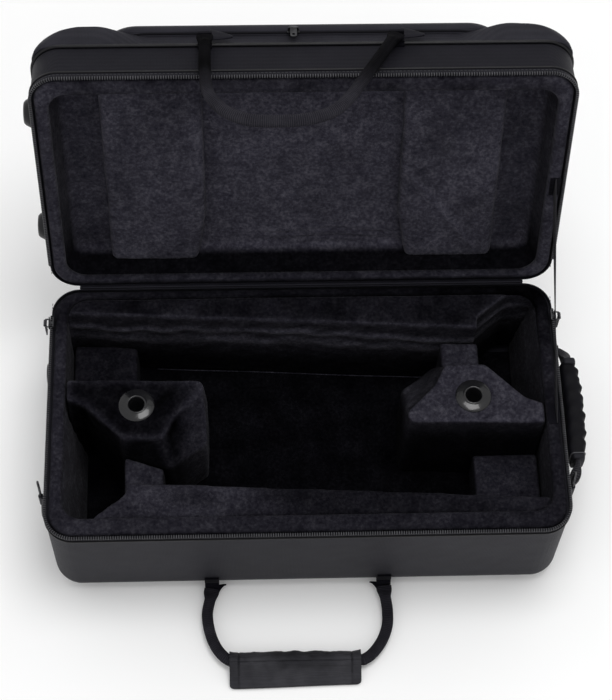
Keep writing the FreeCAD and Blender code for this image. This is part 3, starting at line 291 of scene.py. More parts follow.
class Surface:
    # A material being drawn. Its patterns read Object coordinates, or the piece's own UV map.

    def __init__(self, name, look):
        self.material = bpy.data.materials.new(name)
        self.material.use_nodes = True
        self.tree = self.material.node_tree
        self.place = self.tree.nodes.new("ShaderNodeTexCoord")
        for socket, key, plain in (("Roughness", "roughness", 0.5), ("Specular IOR Level", "gloss", 0.5),
                                   ("Sheen Weight", "sheen", 0.0), ("Sheen Roughness", "sheenSpread", 0.5),
                                   ("Metallic", "metallic", 0.0), ("Coat Weight", "coat", 0.0),
                                   ("Specular Tint", "tint", (1, 1, 1, 1))):
            self.feed(socket, look.get(key, plain))

    def feed(self, key, value, node=None):
        # A node's input, or the shader's, takes a value or another node's output.
        socket = (node or self.tree.nodes["Principled BSDF"]).inputs[key]
        if isinstance(value, (int, float, tuple)):
            socket.default_value = value
        else:
            self.tree.links.new(value, socket)

    def add(self, kind, inputs, **settings):
        node = self.tree.nodes.new("ShaderNode" + kind)
        for key, value in settings.items():
            setattr(node, key, value)
        for key, value in inputs.items():
            self.feed(key, value, node)
        return node

    def noise(self, scale, detail, rough=0.6):
        inputs = {"Scale": scale, "Detail": detail, "Roughness": rough, "Vector": self.place.outputs["Object"]}
        return self.add("TexNoise", inputs).outputs["Fac"]

    def waves(self, scale, direction, distort, output="Object"):
        inputs = {"Scale": scale, "Distortion": distort, "Detail": 1.0, "Vector": self.place.outputs[output]}
        return self.add("TexWave", inputs, wave_type="BANDS", bands_direction=direction).outputs["Fac"]

    def plus(self, a, b):
        return self.add("Math", {0: a, 1: b}, operation="ADD").outputs[0]

    def times(self, a, b):
        return self.add("Math", {0: a, 1: b}, operation="MULTIPLY").outputs[0]

    def nap(self):
        # The painted light and shade set on the piece's points.
        return self.add("Attribute", {}, attribute_name="nap").outputs["Fac"]

    def paint(self, value, stops, laid=False):
        # The value runs the base colour from stop to stop. Where asked, the colour is also scaled by the painted
        # light and shade set on the points.
        ramp = self.add("ValToRGB", {"Fac": value})
        band = ramp.color_ramp.elements
        while len(band) < len(stops):
            band.new(0.5)
        for element, (place, colour) in zip(band, stops):
            element.position = place
            element.color = (*colour, 1)
        colour = ramp.outputs["Color"]
        if laid:
            colour = self.add("VectorMath", {0: colour, "Scale": self.nap()}, operation="SCALE").outputs["Vector"]
        self.feed("Base Color", colour)

    def roughen(self, value, amount, base):
        self.feed("Roughness", self.plus(self.times(value, amount), base))

    def bump(self, height, distance, strength=1.0, after=None):
        inputs = {"Distance": distance, "Strength": strength, "Height": height}
        inputs.update({} if after is None else {"Normal": after})
        normal = self.add("Bump", inputs).outputs["Normal"]
        self.feed("Normal", normal)
        return normal


nylonLook = {
    "dark": (0.0034, 0.0032, 0.0052),
    "light": (0.0098, 0.0094, 0.0135),
    "roughness": 0.6,
    "gloss": 0.2,
    "sheen": 0.02,
    "tint": (0.86, 0.86, 1.0, 1),
    "threads": 210.0,  # waves per metre is about 3 times this
    "threadShade": 0.16,
    "patches": 22.0,
    "threadHeight": 0.0001,
    "creases": 16.0,
    "creaseHeight": 0.0012,
    "laid": False,
}


def wovenNylon(name, **changes):
    # Plain weave: crossed sets of waves give the threads, and slow noise shades them.
    look = {**nylonLook, **changes}
    cloth = Surface(name, look)
    x, y, z = (cloth.waves(look["threads"], axis, 0.4) for axis in "XYZ")
    weave = cloth.plus(cloth.times(x, y), cloth.times(z, cloth.plus(x, y)))
    mixed = cloth.plus(cloth.times(weave, look["threadShade"]), cloth.noise(look["patches"], 4.0))
    cloth.paint(mixed, [(0.3, look["dark"]), (1.0, look["light"])], look["laid"])
    soft = cloth.bump(cloth.noise(look["creases"], 2.0), look["creaseHeight"])
    cloth.bump(weave, look["threadHeight"], 0.8, soft)
    return cloth.material


plushLook = {
    "dark": (0.0060, 0.0056, 0.0092),
    "middle": (0.0200, 0.0192, 0.0262),
    "light": (0.0480, 0.0465, 0.0575),
    "roughness": 0.95,
    "gloss": 0.0,
    "sheen": 0.03,
    "sheenSpread": 0.4,
    "strokes": 75.0,
    "clumps": 260.0,
    "clumpHeight": 0.0010,
    "pile": 1500.0,
    "pileHeight": 0.0006,
}


def plushCloth(name, look):
    # Short pile: brushed clumps and a fine grain for the fibres' tips, all scaled by the painted light and shade set
    # on the points, mixed with how the pile is brushed.
    cloth = Surface(name, look)
    brushed = cloth.noise(look["strokes"], 4.0)
    clumps = cloth.noise(look["clumps"], 3.0, 0.65)
    fine = cloth.noise(look["pile"], 2.0, 0.7)
    mixed = cloth.plus(cloth.times(brushed, 0.30), cloth.plus(cloth.times(clumps, 0.45), cloth.times(fine, 0.25)))
    cloth.paint(mixed, [(0.34, look["dark"]), (0.50, look["middle"]), (0.66, look["light"])], True)
    cloth.feed("Sheen Weight", cloth.times(cloth.nap(), look["sheen"]))
    cloth.bump(fine, look["pileHeight"], 0.9, cloth.bump(clumps, look["clumpHeight"], 0.8))
    return cloth.material


webbingLook = {
    "dark": (0.0022, 0.0020, 0.0038),
    "light": (0.0185, 0.0176, 0.0240),
    "roughness": 0.5,
    "gloss": 0.26,
    "sheen": 0.04,
    "ribs": 150.0,  # along the strap
    "cords": 9.0,  # round or across it
    "ribHeight": 0.0007,
    "laid": False,
}


def ribbedWebbing(name, **changes):
    # Ribs across the strap times cords along it, on the strap's own UV map, with slow noise added.
    look = {**webbingLook, **changes}
    strap = Surface(name, look)
    ribs, cords = strap.waves(look["ribs"], "Y", 0.3, "UV"), strap.waves(look["cords"], "X", 0.2, "UV")
    weave = strap.times(strap.plus(ribs, 0.35), strap.plus(cords, 0.5))
    mixed = strap.plus(strap.times(weave, 0.4), strap.times(strap.noise(60.0, 3.0), 0.5))
    strap.paint(mixed, [(0.2, look["dark"]), (0.95, look["light"])], look["laid"])
    strap.bump(weave, look["ribHeight"], 0.9)
    return strap.material


vinylLook = {
    "dark": (0.0035, 0.0034, 0.0045),
    "light": (0.0135, 0.0132, 0.016),
    "grain": 900.0,
    "grainHeight": 0.0002,
    "roughness": 0.42,
    "gloss": 0.22,
}


def grainedVinyl(name, look):
    # Pebbled grain from cells, with slow noise added to it and to the roughness.
    vinyl = Surface(name, look)
    inputs = {"Scale": look["grain"], "Vector": vinyl.place.outputs["Object"]}
    cells = vinyl.add("TexVoronoi", inputs, feature="F1").outputs["Distance"]
    slow = vinyl.noise(45.0, 5.0)
    grain = vinyl.plus(cells, vinyl.times(slow, 0.6))
    vinyl.paint(grain, [(0.2, look["light"]), (0.9, look["dark"])])
    vinyl.roughen(slow, 0.25, look["roughness"] - 0.12)
    vinyl.bump(grain, look["grainHeight"], -0.8)
    return vinyl.material


def mouldedPlastic(name, dark, light, roughness, grain, height, coat=0.0, gloss=0.25):
    # Moulded surface: fine stipple, and slow streaks in colour and gloss.
    plastic = Surface(name, {"roughness": roughness, "coat": coat, "gloss": gloss})
    slow = plastic.noise(70.0, 4.0)
    plastic.paint(slow, [(0.3, dark), (0.75, light)])
    plastic.roughen(slow, 0.2, roughness - 0.1)
    plastic.bump(plastic.noise(grain, 2.0), height, 0.7)
    return plastic.material


metalLook = {"dark": (0.035, 0.035, 0.038), "light": (0.085, 0.085, 0.09), "roughness": 0.34, "metallic": 1.0}


def platedMetal(name, look):
    # Plated metal: fine scratches in the roughness and duller patches.
    plate = Surface(name, look)
    plate.paint(plate.noise(120.0, 5.0), [(0.3, look["dark"]), (0.7, look["light"])])
    scratch = plate.noise(2400.0, 2.0)
    plate.roughen(scratch, 0.25, look["roughness"] - 0.08)
    plate.bump(scratch, 0.00003, 0.5)
    return plate.material


nylon = wovenNylon("shellNylon")
# Painted shade: the lid's shell nylon is the shell's painted darker and made less glossy, so the lid reads darker
# than the base.
lidNylon = wovenNylon("lidNylon", dark=(0.0018, 0.0016, 0.0033), light=(0.0058, 0.0055, 0.0085), gloss=0.14)
pocketNylon = wovenNylon("pocketNylon", dark=(0.0050, 0.0047, 0.0072), light=(0.0170, 0.0164, 0.0215))
hingeCloth = wovenNylon("hingeCloth", threads=160.0)
zipCloth = wovenNylon("zipTapeCloth", dark=(0.0022, 0.0020, 0.0036), light=(0.0072, 0.0069, 0.0100))
plush = plushCloth("plushPile", plushLook)
webbing = ribbedWebbing("ribbedWebbing")
# The handles' webbing, its colour scaled by the painted light set on the handles, with gloss and sheen cut low so
# that the painted light shows.
handleWebbing = ribbedWebbing("handleWebbing", laid=True, gloss=0.03, roughness=0.8, sheen=0.0,
                              dark=(0.0020, 0.0018, 0.0036), light=(0.0300, 0.0290, 0.0350))
anchorCloth = wovenNylon("anchorCloth", dark=(0.0009, 0.0008, 0.0018), light=(0.0032, 0.0030, 0.0050), gloss=0.05)
bindingCloth = wovenNylon("bindingCloth", dark=(0.005, 0.005, 0.006), light=(0.014, 0.014, 0.017))
# The wrap's cloth, its colour scaled by the painted shade set on the wrap.
gripCloth = wovenNylon("gripCloth", dark=(0.0075, 0.0074, 0.0085), light=(0.0205, 0.0203, 0.0225), threads=260.0,
                       creases=34.0, creaseHeight=0.0020, laid=True)
pipingVinyl = grainedVinyl("pipingVinyl", vinylLook)
cuffEdge = mouldedPlastic("cuffEdge", (0.05, 0.05, 0.055), (0.11, 0.11, 0.12), 0.45, 1500.0, 0.0001)
glossPlastic = mouldedPlastic("holderPlastic", (0.006, 0.006, 0.007), (0.012, 0.012, 0.013), 0.22, 900.0, 0.00004,
                              coat=0.3)
coilPlastic = mouldedPlastic("coilPlastic", (0.0016, 0.0015, 0.0026), (0.004, 0.0038, 0.006), 0.6, 1500.0,
                             0.00005, gloss=0.08)
toothPlastic = mouldedPlastic("toothPlastic", (0.045, 0.045, 0.050), (0.095, 0.095, 0.102), 0.35, 1500.0, 0.00005)
gripRubber = mouldedPlastic("gripRubber", (0.0025, 0.0024, 0.0036), (0.0065, 0.0063, 0.0088), 0.62, 1300.0,
                            0.0002, gloss=0.10)
footRubber = mouldedPlastic("footRubber", (0.004, 0.004, 0.005), (0.011, 0.011, 0.013), 0.42, 1000.0, 0.00015)
thread = mouldedPlastic("sewingThread", (0.020, 0.020, 0.022), (0.055, 0.055, 0.060), 0.55, 3000.0, 0.0001)
metal = platedMetal("platedMetal", metalLook)


# The CAD nodes that keep their shape get their real finish.
for material, slotName, names in (
    (nylon, "shell_fabric", ["base_shell"]),
    (lidNylon, "shell_fabric", ["lid_shell"]),
    (zipCloth, "zip_tape", ["base_zip_tape", "lid_zip_tape"]),
    (coilPlastic, "zip_coil", ["base_zip_coil", "lid_zip_coil", "pocket_zip"]),
    (pipingVinyl, "piping", ["base_welt", "lid_welt", "lid_piping"]),
    (metal, "metal", ["d_ring_left", "d_ring_right", "zip_slider_left", "zip_slider_right", "zip_pull_left",
                      "zip_pull_right", "pocket_slider", "pocket_pull"]),
    (gripRubber, "grip_rubber", ["grip_bracket_back", "grip_bracket_front"]),
    (bindingCloth, "webbing", ["d_ring_tab_left", "d_ring_tab_right"]),
    (anchorCloth, "webbing", ["stay_tab_base", "stay_tab_lid"]),
):
    for name in names:
        dress(nodes[name], material)
print("scene: materials ready")


# Plush rolls round both rims.

rollShape = {
    "outerInset": 0.0036,
    "side": 0.018,
    "front": 0.024,
    "back": 0.012,
    "innerCorner": 0.022,
    "low": 0.0097,  # from the rim plane down to the roll's foot
    "top": 0.0007,
    "square": 3.4,  # 2 is an ellipse, and more is squarer
    "wave": 0.0005,
    "points": (18, 70),  # on each corner and each side
}


def rollPaintedLight(points, normals):
    # Painted light: the base's is lightest along the front, darker toward the right and darkest at the back, in the
    # lid's shade. The lid's is lighter, most at its ends.
    x, y, z = points.T
    base = 0.62 - 0.40 * smoothStep(y, 0.04, 0.14) - 0.16 * np.clip(x / 0.27, -1, 1)
    base += 0.12 * ripple(points, 0.06, 3)
    lid = 0.78 + 0.35 * smoothStep(np.abs(x), 0.245, 0.262) + 0.30 * ripple(points, 0.04, 5)
    return mix(base, lid, smoothStep(z, 0.161, 0.170))


def makeRoll(name, body):
    # At each step round the rim, a squared ellipse spans from the outer to the inner outline.
    s, lid = rollShape, body == "lid"
    inset, sign = s["outerInset"], -1 if lid else 1
    outer = roundedLoop(halfLength - inset, halfWidth - inset, halfWidth - inset, case["cornerRadius"] - inset,
                        *s["points"])
    inner = roundedLoop(halfLength - s["side"], halfWidth - s["front"], halfWidth - s["back"], s["innerCorner"],
                        *s["points"])
    across, rise = squared(np.linspace(0, math.pi, 25), 2 / s["square"])
    flat = ((outer + inner) / 2)[:, None] - ((inner - outer) / 2)[:, None] * across[None, :, None]
    height = -s["low"] + (s["low"] - s["top"]) * np.broadcast_to(rise, flat.shape[:2])
    points = np.concatenate([flat, (rim + sign * height)[..., None]], -1)
    shake = ripple(points.reshape(-1, 3), 0.05, 11 + lid).reshape(points.shape[:2])
    points[..., 2] += sign * (shake - 1) * s["wave"] * rise
    makePiece(name, points, gridFaces(*points.shape[:2], True), body, plush, "plush", lie=rollPaintedLight, fill=0.7)


makeRoll("rimRoll", "base")
makeRoll("lidRimRoll", "lid")
print("scene: rim rolls ready")


# Foam pieces under plush: each follows its CAD solid, softened, with a slightly uneven face, and painted light and
# shade with the pile's brush set on it.

foam = {
    "voxel": 0.0035,
    "relax": 5,
    "uneven": 0.0007,
    "unevenSize": 0.07,
    "edge": 0.25,  # how strongly outward curves lighten it, as a painted highlight where the pile is also worn, and hollows darken it, as painted shade
    "fill": 0.8,
}


def foamPiece(name, body, lie, reshape=None, **changes):
    # The solid is remeshed and relaxed, reshaped where asked, and moved along its normals by a ripple.
    s = {**foam, **changes}
    piece = newObject(name, nodes[nodeName(name)].data.copy())
    weld(piece.data, False)
    remesh = piece.modifiers.new("remesh", "REMESH")
    remesh.mode = "VOXEL"
    remesh.voxel_size = s["voxel"]
    relaxer = piece.modifiers.new("relax", "SMOOTH")
    relaxer.factor = 0.5
    relaxer.iterations = s["relax"]
    mesh = bpy.data.meshes.new_from_object(piece.evaluated_get(bpy.context.evaluated_depsgraph_get()))
    piece.modifiers.clear()
    piece.data = mesh
    mesh.name = name
    points = readRows(mesh.vertices, "co")
    if reshape:
        points = reshape(points)
        setPoints(mesh, points)
    shake = ripple(points, s["unevenSize"], len(name) * 31)
    normals = readRows(mesh.vertex_normals, "vector")
    setPoints(mesh, points + normals * ((shake - 0.7) * s["uneven"])[:, None])
    mesh.polygons.foreach_set("use_smooth", np.full(len(mesh.polygons), True))
    finishPiece(piece, body, plush, "plush", lie, s["edge"], s["fill"])


def topAndSides(top, sides):
    # Painted light with the pile's brush, for pieces whose top looks lighter or darker than their sides because of
    # how the light falls and how the pile is brushed.
    def lie(points, normals):
        up = smoothStep(normals[:, 2], 0.45, 0.9)
        return mix(sides, top, up) * (1 + 0.25 * ripple(points, 0.045, 17))
    return lie


def floorPaintedShade(points, normals):
    # Painted shade: the pit's floor dark all over, with a slow ripple.
    return 0.13 + 0.05 * ripple(points, 0.05, 23)


def frontLedgePaintedLight(points, normals):
    # Painted light with the pile's brush: light on the left, dark past the middle, darker sides, and a paler edge
    # toward the pit.
    x = points[:, 0]
    top = 0.90 - 0.62 * smoothStep(x, -0.10, 0.0) + 0.20 * smoothStep(x, 0.12, 0.24)
    up = smoothStep(normals[:, 2], 0.3, 0.8)
    return mix(0.3, top, up) * (1 + 0.3 * ripple(points * [1, 2, 1], 0.07, 29))


foldLevels = ((0.121, 0.0055, 1.0), (0.098, 0.009, 0.7))  # height, width and strength of each fold


def wallFolds(points):
    # Loose folds of plush along the back wall: crests in height whose level and strength wander with X.
    level = points[:, 2] + 0.007 * ripple(points * [1, 0, 0], 0.19, 53) + 0.0035 * ripple(points, 0.05, 59)
    crest = sum(strength * ridge(level, height, width) for height, width, strength in foldLevels)
    return crest * (0.75 + 0.45 * ripple(points * [1, 0, 2], 0.07, 61))


def foldBack(points):
    # The folds stand out of the wall, and fade toward its foot and its top.
    out = points.copy()
    inside = smoothStep(0.130 - points[:, 1], -0.018, -0.004) * smoothStep(points[:, 2], 0.03, 0.05)
    inside *= 1 - smoothStep(points[:, 2], 0.135, 0.15)
    out[:, 1] -= 0.0022 * wallFolds(points) * inside
    return out


def backLedgePaintedLight(points, normals):
    # Painted light: a dark face, darker still toward its foot as painted shade, with paler crests where it folds and
    # along its lip as painted highlights, and a dark top.
    x, y, z = points.T
    up = smoothStep(normals[:, 2], 0.5, 0.9)
    face = 0.55 + 2.0 * wallFolds(points) * (1 - smoothStep(np.abs(x + 0.03), 0.16, 0.27) * 0.5)
    face *= 0.25 + 0.75 * smoothStep(z, 0.045, 0.10)
    lip = ridge(z, 0.150, 0.004) * (1 - up)
    top = 0.30 * (1 + 0.6 * ripple(points, 0.09, 67))
    return mix(face, top, up) * (1 + 0.35 * ripple(points * [1, 1, 2.5], 0.03, 31)) + 0.5 * lip


def leftBlockPaintedLight(points, normals):
    # Painted light with the pile's brush: the top is dark, the nose that faces the pit paler.
    up = smoothStep(normals[:, 2], 0.5, 0.9)
    nose = smoothStep(points[:, 0], -0.150, -0.122)
    side = 0.12 + 0.62 * nose
    return mix(side, 0.13 + 0.30 * nose, up) * (1 + 0.3 * ripple(points, 0.03, 37))


def rightBlockPaintedLight(points, normals):
    # Painted light with the pile's brush: the top is light, and the sides pale only near it, with painted shade lower
    # down.
    up = smoothStep(normals[:, 2], 0.5, 0.9)
    side = 0.16 + 0.25 * smoothStep(points[:, 2], 0.11, 0.15)
    return mix(side, 1.25, up) * (1 + 0.15 * ripple(points, 0.04, 41))


creaseShape = {"start": (0.104, -0.012), "end": (0.196, 0.118), "width": 0.0035, "depth": 0.0016}


def padCrease(points):
    # A slack crease across the right pad, from its top inner corner down to its foot.
    start, run = np.array(creaseShape["start"]), np.subtract(creaseShape["end"], creaseShape["start"])
    length = np.linalg.norm(run)
    along = run / length
    away = turnLid(points, -1)[:, :2] - start
    share = away @ along / length
    return (ridge(away @ np.array([-along[1], along[0]]), 0, creaseShape["width"])
            * smoothStep(share, -0.05, 0.1) * (1 - smoothStep(share, 0.95, 1.1)))


def creaseDown(points):
    out = points.copy()
    out[:, 1] -= creaseShape["depth"] * padCrease(points)
    return out


def lidPadPaintedLight(points, normals):
    # Painted light with the pile's brush: pale, with painted shade toward the lid's floor, slanting brushed sweeps
    # and a light crease.
    x, y, z = turnLid(points, -1).T
    deep = smoothStep(z - rim, 0.031, 0.042)
    sweep = 0.16 * np.sin(x * 40 + y * 26)
    return (1.42 - 0.6 * deep + sweep) * (1 + 0.16 * ripple(points, 0.05, 43)) + 0.45 * padCrease(points)


foamPiece("floorPad", "base", floorPaintedShade, voxel=0.005)
foamPiece("frontLedge", "base", frontLedgePaintedLight)
foamPiece("backLedge", "base", backLedgePaintedLight, foldBack, voxel=0.003)
# Left and right differ in the painted light set on each piece and in how strongly curves light the holder blocks; the
# right lid pad also has a crease.
for side, stepTop, endSides, blockLie, blockEdgeHighlight, crease in (("Left", 0.40, 0.75, leftBlockPaintedLight, 1.5, None),
                                                             ("Right", 0.85, 0.60, rightBlockPaintedLight, 0.35, creaseDown)):
    foamPiece("endPad" + side, "base", topAndSides(0.5, endSides))
    foamPiece("holderBlock" + side, "base", blockLie, edge=blockEdgeHighlight, voxel=0.003, relax=6)
    foamPiece("neckPad" + side, "base", topAndSides(0.95, 0.35), voxel=0.003)
    foamPiece("stepPad" + side, "base", topAndSides(stepTop, 0.3), voxel=0.003)
    foamPiece("lidPad" + side, "lid", lidPadPaintedLight, crease, relax=8, fill=0.7)

seamShape = {"x": (-0.172, 0.150), "y": 0.1080, "slant": 0.0548, "z": 0.0212, "thick": 0.0007}


def makeFloorSeam():
    # The folded edge of the floor's cloth where it meets the back wall: a thin roll that wavers along it.
    s = seamShape
    x = np.linspace(*s["x"], 130)
    path = np.stack([x, s["y"] - s["slant"] * x - 0.0005 * np.sin(x * 31), s["z"] + 0.0004 * np.sin(x * 23)], -1)
    sweepPiece("floorSeam", path, (0, 0, 1), s["thick"], s["thick"], squared(circle(10), 1), "base", plush, "plush",
               lie=lambda points, normals: 1.0 + 0.3 * ripple(points, 0.05, 71), fill=0.9)


makeFloorSeam()
print("scene: foam pieces ready")


# Lid lining: one sheet of plush over foam, down the side of the tray and across its floor.

liningShape = {
    "rimDepth": 0.0095,
    "floorDepth": 0.045,
    "corner": 0.020,
    "leastCorner": 0.004,
    "wallRound": 0.014,
    "slope": 0.005,
    "uneven": 0.0009,
    "slack": 0.0012,
    "slackAt": (0.03, 0.112),
}


def liningPaintedShade(points, normals):
    # Painted shade: the middle is as pale as the pads, the channels at both ends darker, the floor darker at its foot
    # by the hinge, the wall by the hinge darkest, in shadow, and the slack folds there striped light and dark.
    flat = turnLid(points, -1)
    x, y, z = flat.T
    floor = smoothStep(z - rim, 0.034, 0.043)
    channel = smoothStep(np.abs(x), 0.214, 0.226)
    wall = 0.62 - 0.48 * smoothStep(y, 0.05, 0.13)
    face = 1.62 - 0.45 * channel + 0.20 * ridge(y, 0.112, 0.010) * np.sin(y * 900)
    foot = 1 - 0.35 * smoothStep(y, 0.128, 0.140)
    return mix(wall, face * foot, floor) * (1 + 0.18 * ripple(flat, 0.06, 47))


def makeLining():
    # Rings of a rounded rectangle: down the wall, round its foot by a quarter turn, then in across the floor.
    # The floor ripples, and near the hinge it has slack folds: a sine across a bell.
    s, r = liningShape, rollShape
    wall = np.linspace(0, 1, 14)
    turn = np.radians(np.linspace(0, 90, 12))[1:]
    reach = halfWidth - r["side"] - 0.001
    inward = np.linspace(s["slope"] + s["wallRound"], reach, 40)[1:]
    insets = np.concatenate([wall * s["slope"], s["slope"] + s["wallRound"] * (1 - np.cos(turn)), inward])
    depths = np.concatenate([s["rimDepth"] + wall * (s["floorDepth"] - s["wallRound"] - s["rimDepth"]),
                             s["floorDepth"] - s["wallRound"] * (1 - np.sin(turn)),
                             np.full(len(inward), s["floorDepth"])])
    rings = []
    for inset, depth in zip(insets, depths):
        radius = min(max(s["corner"] - inset, s["leastCorner"]), reach - inset + 0.0005)
        loop = roundedLoop(halfLength - r["side"] - inset, halfWidth - r["front"] - inset,
                           halfWidth - r["back"] - inset, radius, 10, 60)
        rings.append(atHeight(loop, rim + depth))
    rows, columns = len(rings), len(rings[0])
    flat = np.concatenate(rings)
    flat[:, 2] -= (ripple(flat, 0.09, 5) + 1) * s["uneven"] * smoothStep(flat[:, 2] - rim, 0.02, 0.045)
    x, y = flat[:, 0], flat[:, 1]
    slack = ridge(y, s["slackAt"][1], 0.014) * (1 - smoothStep(np.abs(x - s["slackAt"][0]), 0.04, 0.09))
    flat[:, 2] -= s["slack"] * slack * (1 + np.sin(y * 620 + 2 * np.sin(x * 45)))
    cap = list(range((rows - 1) * columns, rows * columns))
    makePiece("lidLining", flat, gridFaces(rows, columns) + [cap], "lid", plush, "plush", shut=False,
              lie=liningPaintedShade, fill=0.8)


makeLining()
print("scene: lid lining ready")


# Zip teeth and stitches on both halves: one small rounded block each, set along the rim.

zipRows = {
    "ZipTeeth": {
        "end": 0.117,
        "pitch": 0.0026,
        "level": 0.0020,  # from the rim plane
        "block": (0.0011, 0.0035, 0.0034),  # along the zip, through the tape, and up
        "finish": (toothPlastic, "zip_coil"),
    },
    "TapeStitches": {
        "end": 0.138,
        "pitch": 0.0042,
        "level": 0.0078,
        "block": (0.003, 0.0007, 0.0007),
        "finish": (thread, "zip_tape"),
    },
}


def roundedBlock(long, wide, tall):
    # A block drawn as four stacked octagon rings, so that its edges are cut.
    ring = np.stack(squared(np.radians(np.arange(8) * 45 + 22.5), 0.6), -1)
    points = np.concatenate([atHeight(ring * share * [long / 2, wide / 2], level * tall / 2)
                             for level, share in ((-1, 0.6), (-0.55, 1), (0.55, 1), (1, 0.6))])
    caps = np.array([[3, 2, 1, 0], [7, 4, 3, 0], [7, 6, 5, 4]])
    return points, np.concatenate([gridFaces(4, 8), caps, caps[:, ::-1] + 24])


def makeRow(kind, body, sign):
    # The path runs up one end, along the front and down the other. At each step a block is set to follow it.
    row = zipRows[kind]
    radius = case["cornerRadius"]
    angle = np.radians(np.linspace(0, 90, 24))
    left = radius - radius * np.stack([np.cos(angle), np.sin(angle)], -1) - [halfLength, halfWidth]
    right = left[::-1] * [-1, 1]
    line = np.concatenate([[(-halfLength, row["end"])], left, right, [(halfLength, row["end"])]])
    path = atHeight(evenSteps(line, step=row["pitch"])[0], rim + sign * row["level"])
    unit, unitFaces = roundedBlock(*row["block"])
    points = path[:, None] + sum(axis[:, None] * unit[None, :, k:k + 1]
                                 for k, axis in enumerate(framesAlong(path, (0, 0, 1))))
    faces = unitFaces[None] + (np.arange(len(path)) * len(unit))[:, None, None]
    makePiece(body + kind, points, faces.reshape(-1, 4).tolist(), body, *row["finish"], shut=False)


for kind in zipRows:
    makeRow(kind, "base", -1)
    makeRow(kind, "lid", 1)
print("scene: zips ready")


# Rolled webbing handles: an oval roll of ribbed webbing with its free edge showing as a seam.

handleShape = {
    "radius": 0.0063,
    "seam": 0.00112,
    "seamAngle": 4.2,
    "seamWidth": 0.16,
    "end": (0.004, 0.015),  # where the flat strap starts to round, and where it is round
    "endWidth": 0.0175,
    "endThick": 0.0034,
    "steps": 260,
    "around": 32,
}
frontPivot = (0.0, -0.159, 0.0101)
frontRoute = [(-0.108, 0.0), (-0.110, -0.011), (-0.1135, -0.031), (-0.110, -0.054), (-0.1015, -0.073),
              (-0.088, -0.0855), (-0.07, -0.087), (0.045, -0.087), (0.064, -0.0855), (0.079, -0.071),
              (0.0885, -0.051), (0.0905, -0.031), (0.0885, -0.011), (0.0875, 0.0)]
lidPivot = (0.0, -halfWidth - 0.0095, rim + 0.058)
lidRoute = [(-0.103, 0.0), (-0.103, -0.02), (-0.1025, -0.06), (-0.099, -0.092), (-0.085, -0.118), (-0.063, -0.133),
            (-0.035, -0.137), (0.0, -0.1345), (0.026, -0.123), (0.043, -0.103), (0.060, -0.072), (0.078, -0.038),
            (0.098, 0.0)]


def lidHandlePaintedLight(points, normals):
    # Painted light: painted shade where the legs leave the lid, the right leg a little lighter, and a painted
    # highlight round the bow.
    bow = smoothStep(-points[:, 1], -0.240, -0.185)
    return 0.22 + 1.60 * bow + 0.10 * (points[:, 0] > 0) * (1 - bow) + 0.14 * ripple(points, 0.03, 7)


def frontHandleLie(points, normals):
    # Light all along, with a ripple.
    return 1.40 + 0.30 * ripple(points, 0.03, 9)


def rolledHandle(name, points, up, lie):
    # A circle carried along the path, pinched along the seam and flattened to a strap at both ends.
    h = handleShape
    path, length = smoothPath(points, h["steps"])
    angle = circle(h["around"])
    outline = 1 - h["seam"] / h["radius"] * ridge(angle, h["seamAngle"], h["seamWidth"])
    at = np.linspace(0, length, h["steps"])
    share = smoothStep(np.minimum(at, length - at), *h["end"])
    wide, tall = (h[key] / 2 * (1 - share) + h["radius"] * share for key in ("endWidth", "endThick"))
    sweepPiece(name, path, up, wide, tall, squared(angle, 1) * outline, nodeName(name), handleWebbing, "webbing",
               uvs=stripUvs(np.abs(angle / math.pi - 1), at), shut=False, lie=lie)


rolledHandle("frontHandle", [(x, frontPivot[1] + y, frontPivot[2]) for x, y in frontRoute], (0, 0, 1),
             frontHandleLie)
rolledHandle("lidHandle", [(x, lidPivot[1], lidPivot[2] + z) for x, z in lidRoute], (0, 1, 0), lidHandlePaintedLight)

tabShape = {"share": {"base": 0.42, "lid": 0.46}, "plateTop": 0.007, "plateCut": 0.75}


def narrowTab(name, body, middle):
    # The CAD tab drawn in to the width of the webbing, about its own middle. A lid tab's lower plate is shortened.
    mesh = nodes[nodeName(name)].data.copy()
    mesh.name = name
    points = readRows(mesh.vertices, "co")
    points[:, 0] = middle + (points[:, 0] - middle) * tabShape["share"][body]
    if body == "lid":
        points = turnLid(points, -1)
        points[:, 2] -= np.minimum(points[:, 2] - lidPivot[2] + tabShape["plateTop"], 0) * tabShape["plateCut"]
        points = turnLid(points)
    setPoints(mesh, points)
    finishPiece(newObject(name, mesh), body, anchorCloth, "webbing")


tongueShape = {"out": 0.0005, "long": 0.0072, "z": 0.0072, "lift": 6, "halfWidth": 0.0072, "halfThick": 0.0006}


def makeTongue(name, x):
    # A strip of webbing that runs out under the handle's end: a rounded rectangle whose height rises by a square.
    s = tongueShape
    path = np.array([[x, -halfWidth - s["out"] - step, s["z"] + s["lift"] * step * step]
                     for step in np.linspace(0, s["long"], 8)])
    sweepPiece(name, path, (0, 0, 1), s["halfWidth"], s["halfThick"], squared(circle(20), 0.4), "base", anchorCloth,
               "webbing")


foldShape = {
    "base": {"run": (0.003, 0.013), "out": 0.0012, "lift": 0.0062, "z": 0.0100, "drop": 0.0, "up": (0, 0, 1),
             "half": 0.0062, "taper": 1.6, "point": 0.0006, "cloth": anchorCloth},
    "lid": {"run": (0.004, 0.025), "out": 0.0055, "lift": 0.0, "z": 0.2215, "drop": 0.0035, "up": (0, 1, 0),
            "half": 0.0080, "taper": 0.8, "point": 0.0012, "cloth": lidNylon},
}


